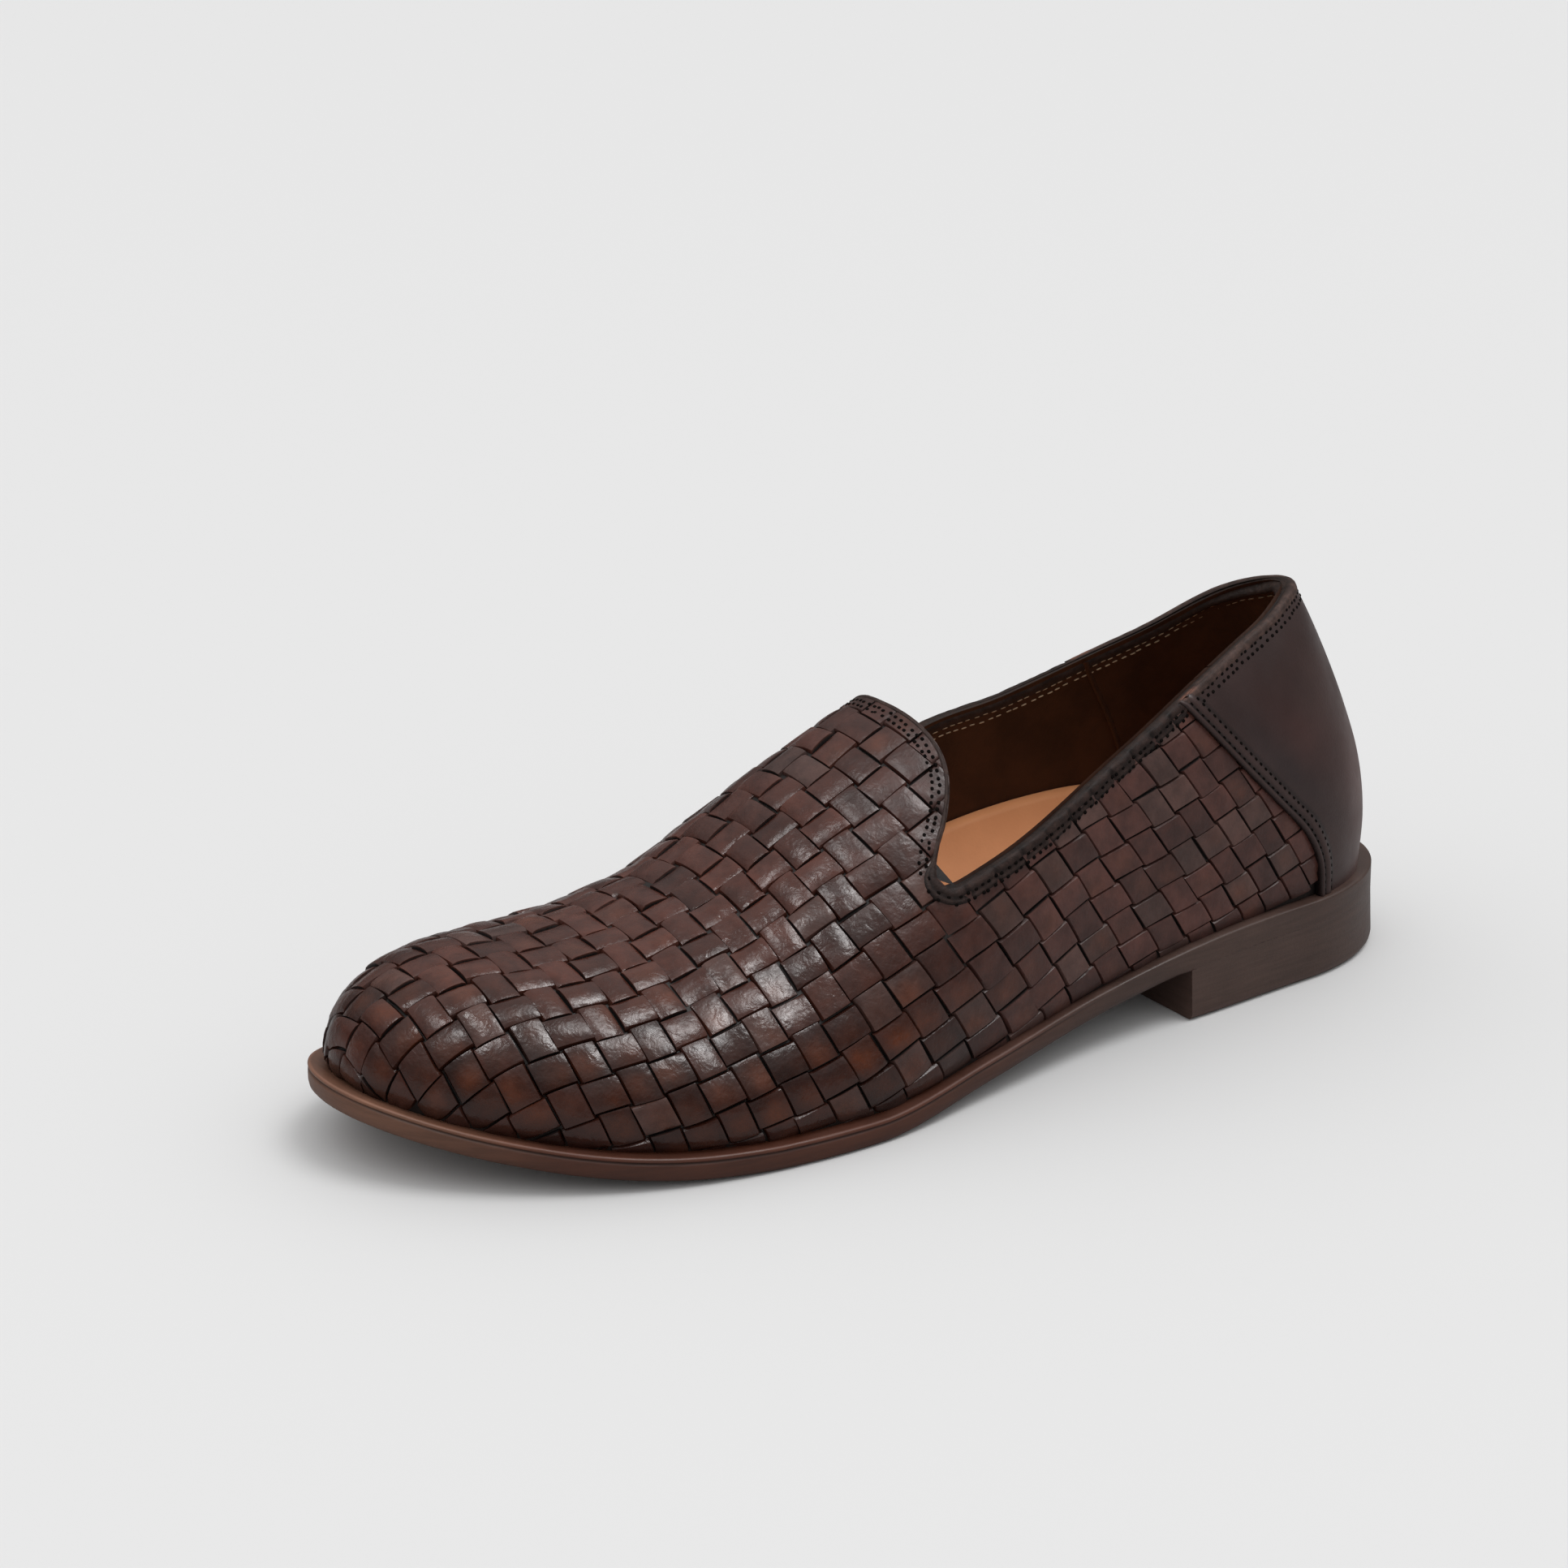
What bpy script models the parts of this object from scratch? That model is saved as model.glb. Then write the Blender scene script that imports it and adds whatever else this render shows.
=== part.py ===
"""Left slip-on shoe with a woven leather upper, standing on its sole.

Metres, +Z up, toe towards -Y, outer side of the foot towards +X, origin on the floor under the middle.
The sizes below are millimetres. A station is the distance forward from the back of the sole.
"""

import bmesh
import bpy
import numpy as np
from mathutils import Vector

MM = 0.001


def table(columns, rows):
    """Named columns of a short table. The rows run along the first column."""
    return dict(zip(columns.split(), np.array(rows, float).T))


# Sole
LENGTH = 300.0
HEEL_ROUND = 38.6
TOE_ROUND = 70.6
TOE_POWER = 2.08
SOLE = table(
    "station centre half underside thickness margin",
    [
        (0, -0.9, 31.8, 14.7, 6.4, 2.6),
        (35, -0.6, 33.1, 14.7, 6.3, 2.4),
        (70, 1.6, 34.6, 14.2, 6.1, 2.0),
        (110, 3.0, 36.8, 9.4, 5.8, 1.8),
        (150, 5.2, 43.2, 4.2, 5.8, 2.2),
        (185, 3.8, 51.8, 0.0, 6.1, 3.0),
        (215, 1.6, 53.6, 0.0, 6.3, 3.2),
        (250, -2.8, 51.0, 2.6, 6.1, 3.2),
        (280, -7.7, 48.1, 8.5, 6.2, 3.2),
        (300, -10.9, 46.4, 14.0, 6.4, 3.2),
    ],
)
# Edge of the sole from the tread up, with a groove under a lip at the top
SOLE_EDGE = table(
    "share cut",
    [(0.0, 0.4), (0.10, 0.0), (0.70, 0.0), (0.77, 0.6), (0.85, 0.25), (1.0, 0.9)],
)

# Heel block, from the floor up
BREAST = 80.5
HEEL_FLARE = 0.4
HEEL_EDGE = table("share cut", [(0.0, 0.3), (0.06, -HEEL_FLARE), (1.0, 0.0)])

# Last: the top line seen from the side, and how square the outer and inner sides stand
TOE_MARGIN = 3.8
TOE_DOME = 51.0
TOE_DOME_POWER = 2.3
BULGE = 0.06
RIDGE = table(
    "station height offset spread outer inner",
    [
        (0, 101.0, 0.0, 2.0, 2.4, 2.4),
        (40, 102.0, 0.0, 2.0, 2.4, 2.4),
        (70, 102.0, 0.0, 2.0, 2.6, 2.6),
        (95, 101.0, -0.5, 2.0, 3.0, 3.0),
        (120, 97.0, -1.5, 2.0, 3.2, 3.2),
        (150, 86.3, -3.5, 2.0, 2.5, 2.6),
        (175, 72.8, -5.0, 2.0, 2.2, 2.5),
        (200, 55.9, -6.0, 2.1, 2.1, 2.5),
        (225, 47.4, -7.5, 2.2, 2.2, 2.5),
        (250, 45.4, -9.0, 2.3, 2.3, 2.5),
        (275, 48.6, -10.5, 2.3, 2.3, 2.4),
        (300, 50.5, -11.0, 2.3, 2.3, 2.3),
    ],
)
# Back of the last, and the length over which it rounds into the sides
BACK = table(
    "height station round",
    [
        (10, 5.5, 34),
        (22, 5.0, 34),
        (35, 4.2, 34),
        (50, 6.1, 33),
        (65, 10.8, 31),
        (80, 16.6, 28),
        (95, 23.2, 22),
        (110, 30.0, 17),
    ],
)

# Topline and tongue seen from the side. The tilt is how much the edge rises for each step outwards
TOPLINE = table(
    "station height tilt",
    [
        (20, 97.0, 0.10),
        (32, 94.4, 0.13),
        (45, 89.2, 0.18),
        (70, 80.9, 0.13),
        (95, 72.6, 0.06),
        (120, 65.6, -0.03),
        (140, 55.9, 0.04),
        (152, 51.6, 0.06),
    ],
)
TONGUE = table(
    "step station height",
    [
        (0, 152.0, 51.6),
        (1, 156.8, 50.9),
        (2, 159.6, 54.0),
        (3, 156.6, 60.0),
        (4, 152.6, 65.0),
        (5, 148.9, 71.0),
        (6, 146.7, 76.0),
        (7, 145.9, 81.0),
        (8, 147.0, 86.0),
        (9, 150.5, 90.0),
    ],
)
# Front edge of the counter
SEAM = table(
    "height station",
    [(20, 34.5), (32, 36.5), (40, 41.0), (49, 49.5), (60, 60.0), (71, 69.8), (80.5, 78.0), (104, 97.5)],
)

# Weave: strips cross the foot on lines that lean and bend back, and run along it from the ridge down
CROSS_PITCH = 8.4
RUN_PITCH = 9.0
FIRST_CROSS = 7.5
RUN_LINES = 14
LAST_CROSS = 84.0
CROSS_LEAN = table(
    "station degrees bend",
    [
        (60, 33, 0),
        (150, 33, 0),
        (170, 31, 0.1),
        (187, 25, 0.4),
        (205, 18, 0.8),
        (225, 14, 1),
        (255, 12, 1),
        (300, 12, 1),
    ],
)
# Lengthwise strips rise towards the ridge behind the quarter and turn inwards at the toe
RUN_CLIMB = table("station rise", [(40, 30), (70, 17), (95, 7.5), (120, 1.5), (150, 0), (300, 0)])
RUN_TURN = table(
    "station inwards",
    [(150, 0), (175, 0), (190, 2.5), (215, 3.5), (245, 2.3), (268, 4.2), (285, 7), (300, 10)],
)
STRIP_HEIGHT = 1.0
STRIP_INSET = 0.9
STRIP_SHORTEN = 0.84
STRIP_WIDEN = 1.12
FLAT_BORDER = 7.0
UNDER_COUNTER = 5.0
ABOVE_SEAT = -2.0

# Skins, as how far each stands out from the last
GAP = 0.3
WOVEN = -1.0
LINING = -2.8
COUNTER_BED = WOVEN + 0.15
COUNTER_INNER = COUNTER_BED + GAP
COUNTER_OUTER = 0.5
ROOM_OUTER = 4.0
BELOW_SEAT = 8.0
# Rows of the counter from its folded front strip to the back of the heel
COUNTER = table(
    "share bead",
    [
        (0.0, 0.1),
        (0.02, 0.6),
        (0.075, 0.6),
        (0.095, 0.0),
        (0.22, 0.0),
        (0.37, 0.0),
        (0.52, 0.0),
        (0.65, 0.0),
        (0.76, 0.0),
        (0.85, 0.0),
        (0.92, 0.0),
        (0.97, 0.0),
        (1.0, 0.0),
    ],
)
SEAM_GAP = 1.1
BED_REACH = 16.0

# Insole, dished at the heel and raised along the arch
INSOLE_SKIN = LINING - 0.75
INSOLE_THICK = 4.0
INSOLE_BACK = 9.2
INSOLE_FRONT = 290.0
INSOLE_CUP = table(
    "station inner outer",
    [
        (0, 7, 7),
        (40, 11, 8),
        (75, 17, 6),
        (110, 19, 4),
        (140, 14, 3),
        (180, 4, 2),
        (220, 1.5, 1.5),
        (300, 1, 1),
    ],
)
CUP_POWER = 2.6

# Colour and roughness of each leather
LEATHERS = {
    "sole_leather": ((0.12, 0.05, 0.03), 0.45),
    "heel_leather": ((0.08, 0.055, 0.048), 0.5),
    "insole_leather": ((0.37, 0.16, 0.07), 0.6),
    "woven_leather": ((0.05, 0.025, 0.018), 0.4),
    "smooth_leather": ((0.06, 0.04, 0.032), 0.45),
}
SHARP_DEGREES = 35.0

# Fineness of the lofts
SOLE_SECTIONS = 44
HEEL_SECTIONS = 16
LINING_ROWS = 28
LINING_COLUMNS = 9
REAR_ROWS = 11
COUNTER_COLUMNS = 17
CORE_ROWS = 16
INSOLE_SECTIONS = 26
INSOLE_COLUMNS = 8
TOPLINE_POINTS = 36
PRISM_SLICES = 20
TONGUE_POINTS = 40
SEAT_POINTS = 70
TRACE_POINTS = 240
RIDGE_POINTS = 1200
RIDGE_CROWDING = 1.5
TOE_CROWDING = 1.6
SETTLING_STEPS = 40
MERGE_DISTANCE = 0.02
SLIVER = 0.01


def along(rows, column, at):
    """Smooth curve through one column of a table."""
    keys = next(iter(rows.values()))
    values = rows[column]
    slopes = np.gradient(values, keys)
    at = np.clip(np.asarray(at, float), keys[0], keys[-1])
    low = np.clip(np.searchsorted(keys, at, side="right") - 1, 0, len(keys) - 2)
    step = keys[low + 1] - keys[low]
    t = (at - keys[low]) / step
    start = values[low] * (2 * t**3 - 3 * t**2 + 1) + slopes[low] * step * (t**3 - 2 * t**2 + t)
    end = values[low + 1] * (3 * t**2 - 2 * t**3) + slopes[low + 1] * step * (t**3 - t**2)
    return start + end


def rounded(share, power=2.0):
    """Share of the full width at a share of the way into a rounded end."""
    rest = 1 - np.clip(share, 0, 1)
    return np.clip(1 - rest**power, 0, 1) ** (1 / power)


def eased(count):
    """Shares from 0 to 1 that crowd towards both ends."""
    return (1 - np.cos(np.linspace(0, np.pi, count + 1))) / 2


def underside(station):
    return np.maximum(along(SOLE, "underside", station), 0)


def seat(station):
    """Height of the sole's upper face."""
    return underside(station) + along(SOLE, "thickness", station)


def sole_outline(station, side, cut):
    """Plan outline of the sole, cut in all round."""
    ends = rounded((station - cut) / HEEL_ROUND) * rounded((LENGTH - cut - station) / TOE_ROUND, TOE_POWER)
    return along(SOLE, "centre", station) + side * (along(SOLE, "half", station) - cut) * ends


def toe_front(grow):
    return LENGTH - TOE_MARGIN + grow


def ridge(station, grow):
    """Height of the last's top line, which runs on over the open collar."""
    low = seat(station)
    dome = rounded((toe_front(grow) - station) / TOE_DOME, TOE_DOME_POWER)
    return low + (along(RIDGE, "height", station) + grow - low) * dome


def back_station(height, grow):
    return along(BACK, "station", height) - grow


def skin(station, height, side, grow):
    """Sideways place of the last's surface at a station and a height."""
    heel = rounded((station - back_station(height, grow)) / along(BACK, "round", height))
    ends = heel * rounded((toe_front(grow) - station) / TOE_ROUND, TOE_POWER)
    centre = along(SOLE, "centre", station)
    half = along(SOLE, "half", station) - along(SOLE, "margin", station) + grow
    low = seat(station)
    rise = np.clip((height - low) / np.maximum(ridge(station, grow) - low, MM), 0, 1)
    square = along(RIDGE, "outer" if side > 0 else "inner", station)
    share = np.clip(1 - rise**square, 0, 1) ** (1 / along(RIDGE, "spread", station))
    share = share * (1 + BULGE * 4 * rise * (1 - rise) ** 2)
    top = centre + (along(RIDGE, "offset", station) - centre) * ends
    return top + (centre + side * half * ends - top) * share


def trace(path, top, side, grow):
    """A line down one side of the skin, from its top to below the seat, with distances along it."""
    low = top
    for _ in range(SETTLING_STEPS):
        low = seat(path(low)) - BELOW_SEAT
    share = (1 - np.cos(np.linspace(0, np.pi / 2, TRACE_POINTS))) ** RIDGE_CROWDING
    height = top + (low - top) * share
    station = path(height)
    points = np.stack([station, skin(station, height, side, grow), height], axis=-1)
    steps = np.linalg.norm(np.diff(points, axis=0), axis=1)
    return np.concatenate([[0], np.cumsum(steps)]), points


def loop_over(path, top, grow, spacing, inwards=0.0):
    """Loop from the inner side's lower edge over the ridge to the outer side's lower edge."""
    inner_reach, inner = trace(path, top, -1, grow)
    outer_reach, outer = trace(path, top, 1, grow)
    reach = np.concatenate([-inner_reach[::-1], outer_reach[1:]])
    points = np.concatenate([inner[::-1], outer[1:]])
    at = np.concatenate([-spacing(inner_reach[-1])[::-1], spacing(outer_reach[-1])[1:]]) - inwards
    at = np.clip(at, reach[0], reach[-1])
    return np.stack([np.interp(at, reach, points[:, k]) for k in range(3)], axis=-1)


def tip_loop(grow, lines):
    """The toe's tip, where the loop has closed to an upright line."""
    front = toe_front(grow)
    low = float(seat(front))
    depth = np.minimum(np.arange(lines) * RUN_PITCH, BELOW_SEAT)
    across = np.full(lines, float(along(SOLE, "centre", front)))
    line = np.stack([np.full(lines, front), across, low - depth], axis=-1)
    return np.concatenate([line[::-1], line[1:]])


def ridge_reach(grow):
    """Stations along the ridge from the toe's tip to the last crosswise line, and distances to them."""
    station = toe_front(grow) - (toe_front(grow) - LAST_CROSS) * np.linspace(0, 1, RIDGE_POINTS) ** 2
    steps = np.hypot(np.diff(station), np.diff(ridge(station, grow)))
    return station, np.concatenate([[0], np.cumsum(steps)])


def cross_path(station, grow):
    """Crosswise line seen from the side: it leans back, or bends back, as it comes down from the ridge."""
    lean = np.tan(np.radians(along(CROSS_LEAN, "degrees", station)))
    bend = np.maximum(along(CROSS_LEAN, "bend", station), 0)
    top = ridge(station, grow)
    depth = top - seat(station)

    def path(height):
        share = np.minimum(np.abs(top - height) / depth, 1)
        return station - (top - height) * lean * share**bend

    return path


def seam_path(height, ahead=0.0):
    return along(SEAM, "station", height) + ahead


def rear_path(first, share, grow):
    """Line at a share of the way from a first line to the back of the heel."""
    return lambda height: (1 - share) * first(height) + share * back_station(height, grow)


def rear_shares():
    """Shares of the way round the heel, closer together at the back."""
    return np.sin(np.linspace(0, np.pi / 2, REAR_ROWS + 1)[1:])


def rear_top(path, grow):
    """Height at which a line behind the tongue meets the ridge."""
    top = RIDGE["height"].max() + grow
    for _ in range(SETTLING_STEPS):
        top = ridge(path(top), grow)
    return top


def rear_loop(first, share, grow, spacing):
    path = rear_path(first, share, grow)
    return loop_over(path, rear_top(path, grow), grow, spacing)


def cap_end(shape, ring, cap):
    """Closes an end with one flat face, or with rungs across a bent one."""
    if cap == "flat":
        shape.faces.new(ring)
    if cap == "rungs":
        for k in range((len(ring) - 1) // 2):
            rung = [ring[k], ring[k + 1], ring[-2 - k], ring[-1 - k]]
            shape.faces.new(list(dict.fromkeys(rung)))


def loft(loops, caps=(None, None), runs=None):
    """Closed skin through loops of equal count. Runs holds the strip directions of woven faces."""
    shape = bmesh.new()
    run = shape.faces.layers.float_vector.new("run")
    rings = [[shape.verts.new((x * MM, -station * MM, z * MM)) for station, x, z in loop] for loop in loops]
    count = len(rings[0])
    for i, (ring, after) in enumerate(zip(rings, rings[1:])):
        for k in range(count):
            beside = (k + 1) % count
            face = shape.faces.new((ring[k], ring[beside], after[beside], after[k]))
            if runs and (i, k) in runs:
                face[run] = runs[i, k]
    cap_end(shape, rings[0], caps[0])
    cap_end(shape, rings[-1], caps[1])
    bmesh.ops.remove_doubles(shape, verts=shape.verts, dist=MERGE_DISTANCE * MM)
    bmesh.ops.dissolve_degenerate(shape, edges=shape.edges, dist=SLIVER * MM)
    bmesh.ops.recalc_face_normals(shape, faces=shape.faces)
    if shape.calc_volume(signed=True) < 0:
        bmesh.ops.reverse_faces(shape, faces=shape.faces)
    return shape


def add_object(shape, name, collection, shoe, leather=None):
    """Object from a finished shape. One with no leather is a cutter."""
    mesh = bpy.data.meshes.new(name)
    shape.to_mesh(mesh)
    shape.free()
    item = bpy.data.objects.new(name, mesh)
    item.parent = shoe
    collection.objects.link(item)
    if leather is None:
        item.hide_render = True
        item.display_type = "WIRE"
    else:
        mesh.materials.append(make_material(leather, *LEATHERS[leather]))
        mesh.shade_smooth()
        mesh.set_sharp_from_angle(angle=np.radians(SHARP_DEGREES))
    return item


def cut_away(item, cutters):
    for cutter in cutters:
        modifier = item.modifiers.new(cutter.name, "BOOLEAN")
        modifier.operation = "DIFFERENCE"
        modifier.solver = "EXACT"
        modifier.object = cutter


def make_material(name, colour, roughness):
    material = bpy.data.materials.new(name)
    material.use_nodes = True
    surface = material.node_tree.nodes["Principled BSDF"]
    surface.inputs["Base Color"].default_value = (*colour, 1.0)
    surface.inputs["Roughness"].default_value = roughness
    surface.inputs["Metallic"].default_value = 0.0
    return material


def edge_section(edge, share, reach, ends, low, high):
    """Section of the sole or heel at a share of its reach: up the outer edge and down the inner edge."""
    sides = []
    for side in (1, -1):
        points = []
        for part, cut in zip(edge["share"], edge["cut"]):
            station = cut + (reach - ends * cut) * share
            height = low(station) + (high(station) - low(station)) * part
            points.append((station, float(sole_outline(station, side, cut)), float(height)))
        sides.append(points)
    return sides[0] + sides[1][::-1]


def outsole_shape():
    """Outsole with its toe spring, arch and lipped edge."""
    loops = [edge_section(SOLE_EDGE, share, LENGTH, 2, underside, seat) for share in eased(SOLE_SECTIONS)]
    return loft(loops)


def heel_shape():
    """Heel block, flush with the sole's edge and square at its breast."""
    shares = 1 - np.cos(np.linspace(0, np.pi / 2, HEEL_SECTIONS + 1))

    def floor(station):
        return 0.0

    def top(station):
        return underside(station) - GAP

    loops = [edge_section(HEEL_EDGE, share, BREAST, 1, floor, top) for share in shares]
    return loft(loops, caps=(None, "flat"))


def insole_shape():
    """Insole lying on the sole inside the upper."""
    loops = []
    for share in eased(INSOLE_SECTIONS):
        station = INSOLE_BACK + (INSOLE_FRONT - INSOLE_BACK) * share
        base = float(seat(station))
        bottom = base + GAP
        loop = [(station, float(skin(station, bottom, side, INSOLE_SKIN)), bottom) for side in (-1, 1)]
        edges = []
        for side, column in ((1, "outer"), (-1, "inner")):
            cup = float(along(INSOLE_CUP, column, station))
            edges.append((float(skin(station, base + INSOLE_THICK + cup, side, INSOLE_SKIN)), cup))
        for across in np.linspace(0, 1, INSOLE_COLUMNS + 1):
            x = edges[0][0] + (edges[1][0] - edges[0][0]) * across
            cup = edges[0 if across < 0.5 else 1][1] * abs(1 - 2 * across) ** CUP_POWER
            loop.append((station, x, base + INSOLE_THICK + cup))
        loops.append(loop)
    return loft(loops, caps=("flat", "flat"))


def lining_shape():
    """Inside of the upper, run on below the seat so that the upper is open underneath."""
    columns = np.linspace(0, 1, LINING_COLUMNS + 1)
    stations, reach = ridge_reach(LINING)
    loops = [tip_loop(LINING, LINING_COLUMNS + 1)]
    rows = reach[-1] * np.linspace(0, 1, LINING_ROWS + 1)[1:] ** TOE_CROWDING
    for station in np.interp(rows, reach, stations):
        path = cross_path(station, LINING)
        loops.append(loop_over(path, ridge(station, LINING), LINING, lambda total: total * columns))
    for share in rear_shares():
        loops.append(rear_loop(path, share, LINING, lambda total: total * columns))
    return loft(loops)


def rear_shape(shares, grows, ahead=0.0):
    """The last behind a line ahead of the counter's front edge, a row for each share and skin."""
    columns = np.linspace(0, 1, COUNTER_COLUMNS + 1)

    def front(height):
        return seam_path(height, ahead)

    loops = []
    for share, grow in zip(shares, grows):
        loops.append(rear_loop(front, share, grow, lambda total: total * columns))
    return loft(loops, caps=("rungs", None))


def rear_core(grow, ahead):
    shares = np.sin(np.linspace(0, np.pi / 2, CORE_ROWS + 1))
    return rear_shape(shares, np.full(CORE_ROWS + 1, grow), ahead)


def collar_profile():
    """Side outline of the space above the topline and behind the tongue."""
    stations = np.linspace(TOPLINE["station"][0], TOPLINE["station"][-1], TOPLINE_POINTS)
    topline = np.stack([stations, along(TOPLINE, "height", stations)], axis=-1)
    steps = np.linspace(0, TONGUE["step"][-1], TONGUE_POINTS)[1:]
    tongue = np.stack([along(TONGUE, "station", steps), along(TONGUE, "height", steps)], axis=-1)
    above = LENGTH / 2
    behind = -LENGTH / 6
    corners = [(tongue[-1, 0], above), (behind, above), (behind, topline[0, 1])]
    profile = np.concatenate([topline, tongue, corners])
    return np.column_stack([profile, along(TOPLINE, "tilt", profile[:, 0])])


def seat_profile():
    """Side outline of the space below the sole's upper face."""
    beyond = LENGTH / 15
    stations = np.linspace(-beyond, LENGTH + beyond, SEAT_POINTS)
    top = np.stack([stations, seat(stations) + GAP, np.zeros(SEAT_POINTS)], axis=-1)
    return np.concatenate([top, [(LENGTH + beyond, -beyond, 0), (-beyond, -beyond, 0)]])


def prism_shape(profile):
    """Side outline pushed across the whole shoe, tilted at each of its points."""
    across = LENGTH / 3
    loops = []
    for x in np.linspace(-across, across, PRISM_SLICES + 1):
        loops.append([(station, x, height + tilt * x) for station, height, tilt in profile])
    return loft(loops, caps=("flat", "flat"))


def above_collar(profile, station, height):
    """Whether a point lies inside the collar's side outline."""
    ahead = np.roll(profile, -1, axis=0)
    spans = (profile[:, 1] > height) != (ahead[:, 1] > height)
    rise = np.where(spans, ahead[:, 1] - profile[:, 1], 1.0)
    crossing = profile[:, 0] + (height - profile[:, 1]) / rise * (ahead[:, 0] - profile[:, 0])
    return np.count_nonzero(spans & (station < crossing)) % 2 == 1


def shows_weave(profile, centre):
    """Whether a crossing is raised: not in the flat border, under the counter or below the seat."""
    station, x, height = centre
    level = height - along(TOPLINE, "tilt", station) * x
    if above_collar(profile, station, level):
        return False
    if np.hypot(profile[:, 0] - station, profile[:, 1] - level).min() < FLAT_BORDER:
        return False
    return station > seam_path(height) - UNDER_COUNTER and height > seat(station) + ABOVE_SEAT


def woven_shape():
    """Outside of the upper: crosswise rows with their crossings raised, then plain rows round the heel."""
    stations, reach = ridge_reach(WOVEN)
    stations = np.interp(np.arange(FIRST_CROSS, reach[-1], CROSS_PITCH), reach, stations)
    loops = [tip_loop(WOVEN, RUN_LINES)]
    for station in stations:
        lines = np.maximum(np.arange(RUN_LINES) * RUN_PITCH - along(RUN_CLIMB, "rise", station), 0)
        lines[-1] = LENGTH
        path = cross_path(station, WOVEN)
        inwards = along(RUN_TURN, "inwards", station)
        loops.append(loop_over(path, ridge(station, WOVEN), WOVEN, lambda total: lines, inwards))
    woven = len(loops)
    total = trace(path, ridge(stations[-1], WOVEN), 1, WOVEN)[0][-1]
    columns = np.clip(lines, 0, total) / total
    for share in rear_shares():
        loops.append(rear_loop(path, share, WOVEN, lambda total: total * columns))
    shape = loft(loops, runs=strip_runs(loops[:woven]))
    raise_strips(shape)
    return shape


def strip_runs(loops):
    """Direction of the upper strip at each raised crossing: turn about, along the foot and across it."""
    profile = collar_profile()
    runs = {}
    for i in range(1, len(loops) - 1):
        for k in range(len(loops[i]) - 1):
            near, far = np.array(loops[i][k : k + 2]), np.array(loops[i + 1][k : k + 2])
            if shows_weave(profile, (near + far).mean(axis=0) / 2):
                lengthwise = (i + k) % 2 == 0
                run = (far - near).sum(axis=0) if lengthwise else near[1] - near[0] + far[1] - far[0]
                runs[i, k] = Vector((run[1], -run[0], run[2])).normalized()
    return runs


def raise_strips(shape):
    """Lifts each crossing into a pad that is full across its strip and short along it."""
    run = shape.faces.layers.float_vector["run"]
    pads = [face for face in shape.faces if face[run].length > 0 and len(face.verts) == 4]
    bmesh.ops.inset_individual(
        shape, faces=pads, thickness=STRIP_INSET * MM, depth=STRIP_HEIGHT * MM, use_even_offset=True
    )
    for pad in pads:
        centre = pad.calc_center_median()
        for vert in pad.verts:
            offset = vert.co - centre
            lengthwise = pad[run] * offset.dot(pad[run])
            vert.co = centre + lengthwise * STRIP_SHORTEN + (offset - lengthwise) * STRIP_WIDEN


def clear_scene():
    for item in list(bpy.data.objects):
        bpy.data.objects.remove(item, do_unlink=True)


def new_collection(name):
    collection = bpy.data.collections.new(name)
    bpy.context.scene.collection.children.link(collection)
    return collection


def add_shoe(parts):
    """Empty that carries every piece and sets the middle of the shoe over the origin."""
    stations = np.linspace(0, LENGTH, SEAT_POINTS)
    middle = (sole_outline(stations, 1, 0).max() + sole_outline(stations, -1, 0).min()) / 2
    shoe = bpy.data.objects.new("shoe", None)
    shoe.location = (-middle * MM, (LENGTH - HEEL_FLARE) / 2 * MM, 0)
    parts.objects.link(shoe)
    return shoe


def main():
    clear_scene()
    parts = new_collection("woven_slip_on")
    tools = new_collection("cutters")
    shoe = add_shoe(parts)

    add_object(outsole_shape(), "outsole", parts, shoe, "sole_leather")
    add_object(heel_shape(), "heel", parts, shoe, "heel_leather")
    add_object(insole_shape(), "insole", parts, shoe, "insole_leather")

    collar = add_object(prism_shape(collar_profile()), "collar_space", tools, shoe)
    below = add_object(prism_shape(seat_profile()), "below_seat", tools, shoe)
    inside = add_object(lining_shape(), "inside", tools, shoe)
    bed = add_object(rear_core(COUNTER_BED, BED_REACH), "counter_bed", tools, shoe)
    core = add_object(rear_core(COUNTER_INNER, BED_REACH), "counter_core", tools, shoe)
    room = add_object(rear_core(ROOM_OUTER, SEAM_GAP), "counter_room", tools, shoe)
    cut_away(room, [bed])

    upper = add_object(woven_shape(), "upper", parts, shoe, "woven_leather")
    cut_away(upper, [room, inside, collar, below])

    rows = rear_shape(COUNTER["share"], COUNTER_OUTER + COUNTER["bead"])
    counter = add_object(rows, "counter", parts, shoe, "smooth_leather")
    cut_away(counter, [core, collar, below])


main()
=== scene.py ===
"""Looks of a left slip-on shoe with a woven leather upper.

Metres, +Z up, toe towards -Y, outer side towards +X. The shape functions work in millimetres:
a station is the distance forward from the back of the sole, x goes outwards and z up.
"""

import bpy
import numpy as np
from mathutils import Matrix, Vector
from mathutils.bvhtree import BVHTree


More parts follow.
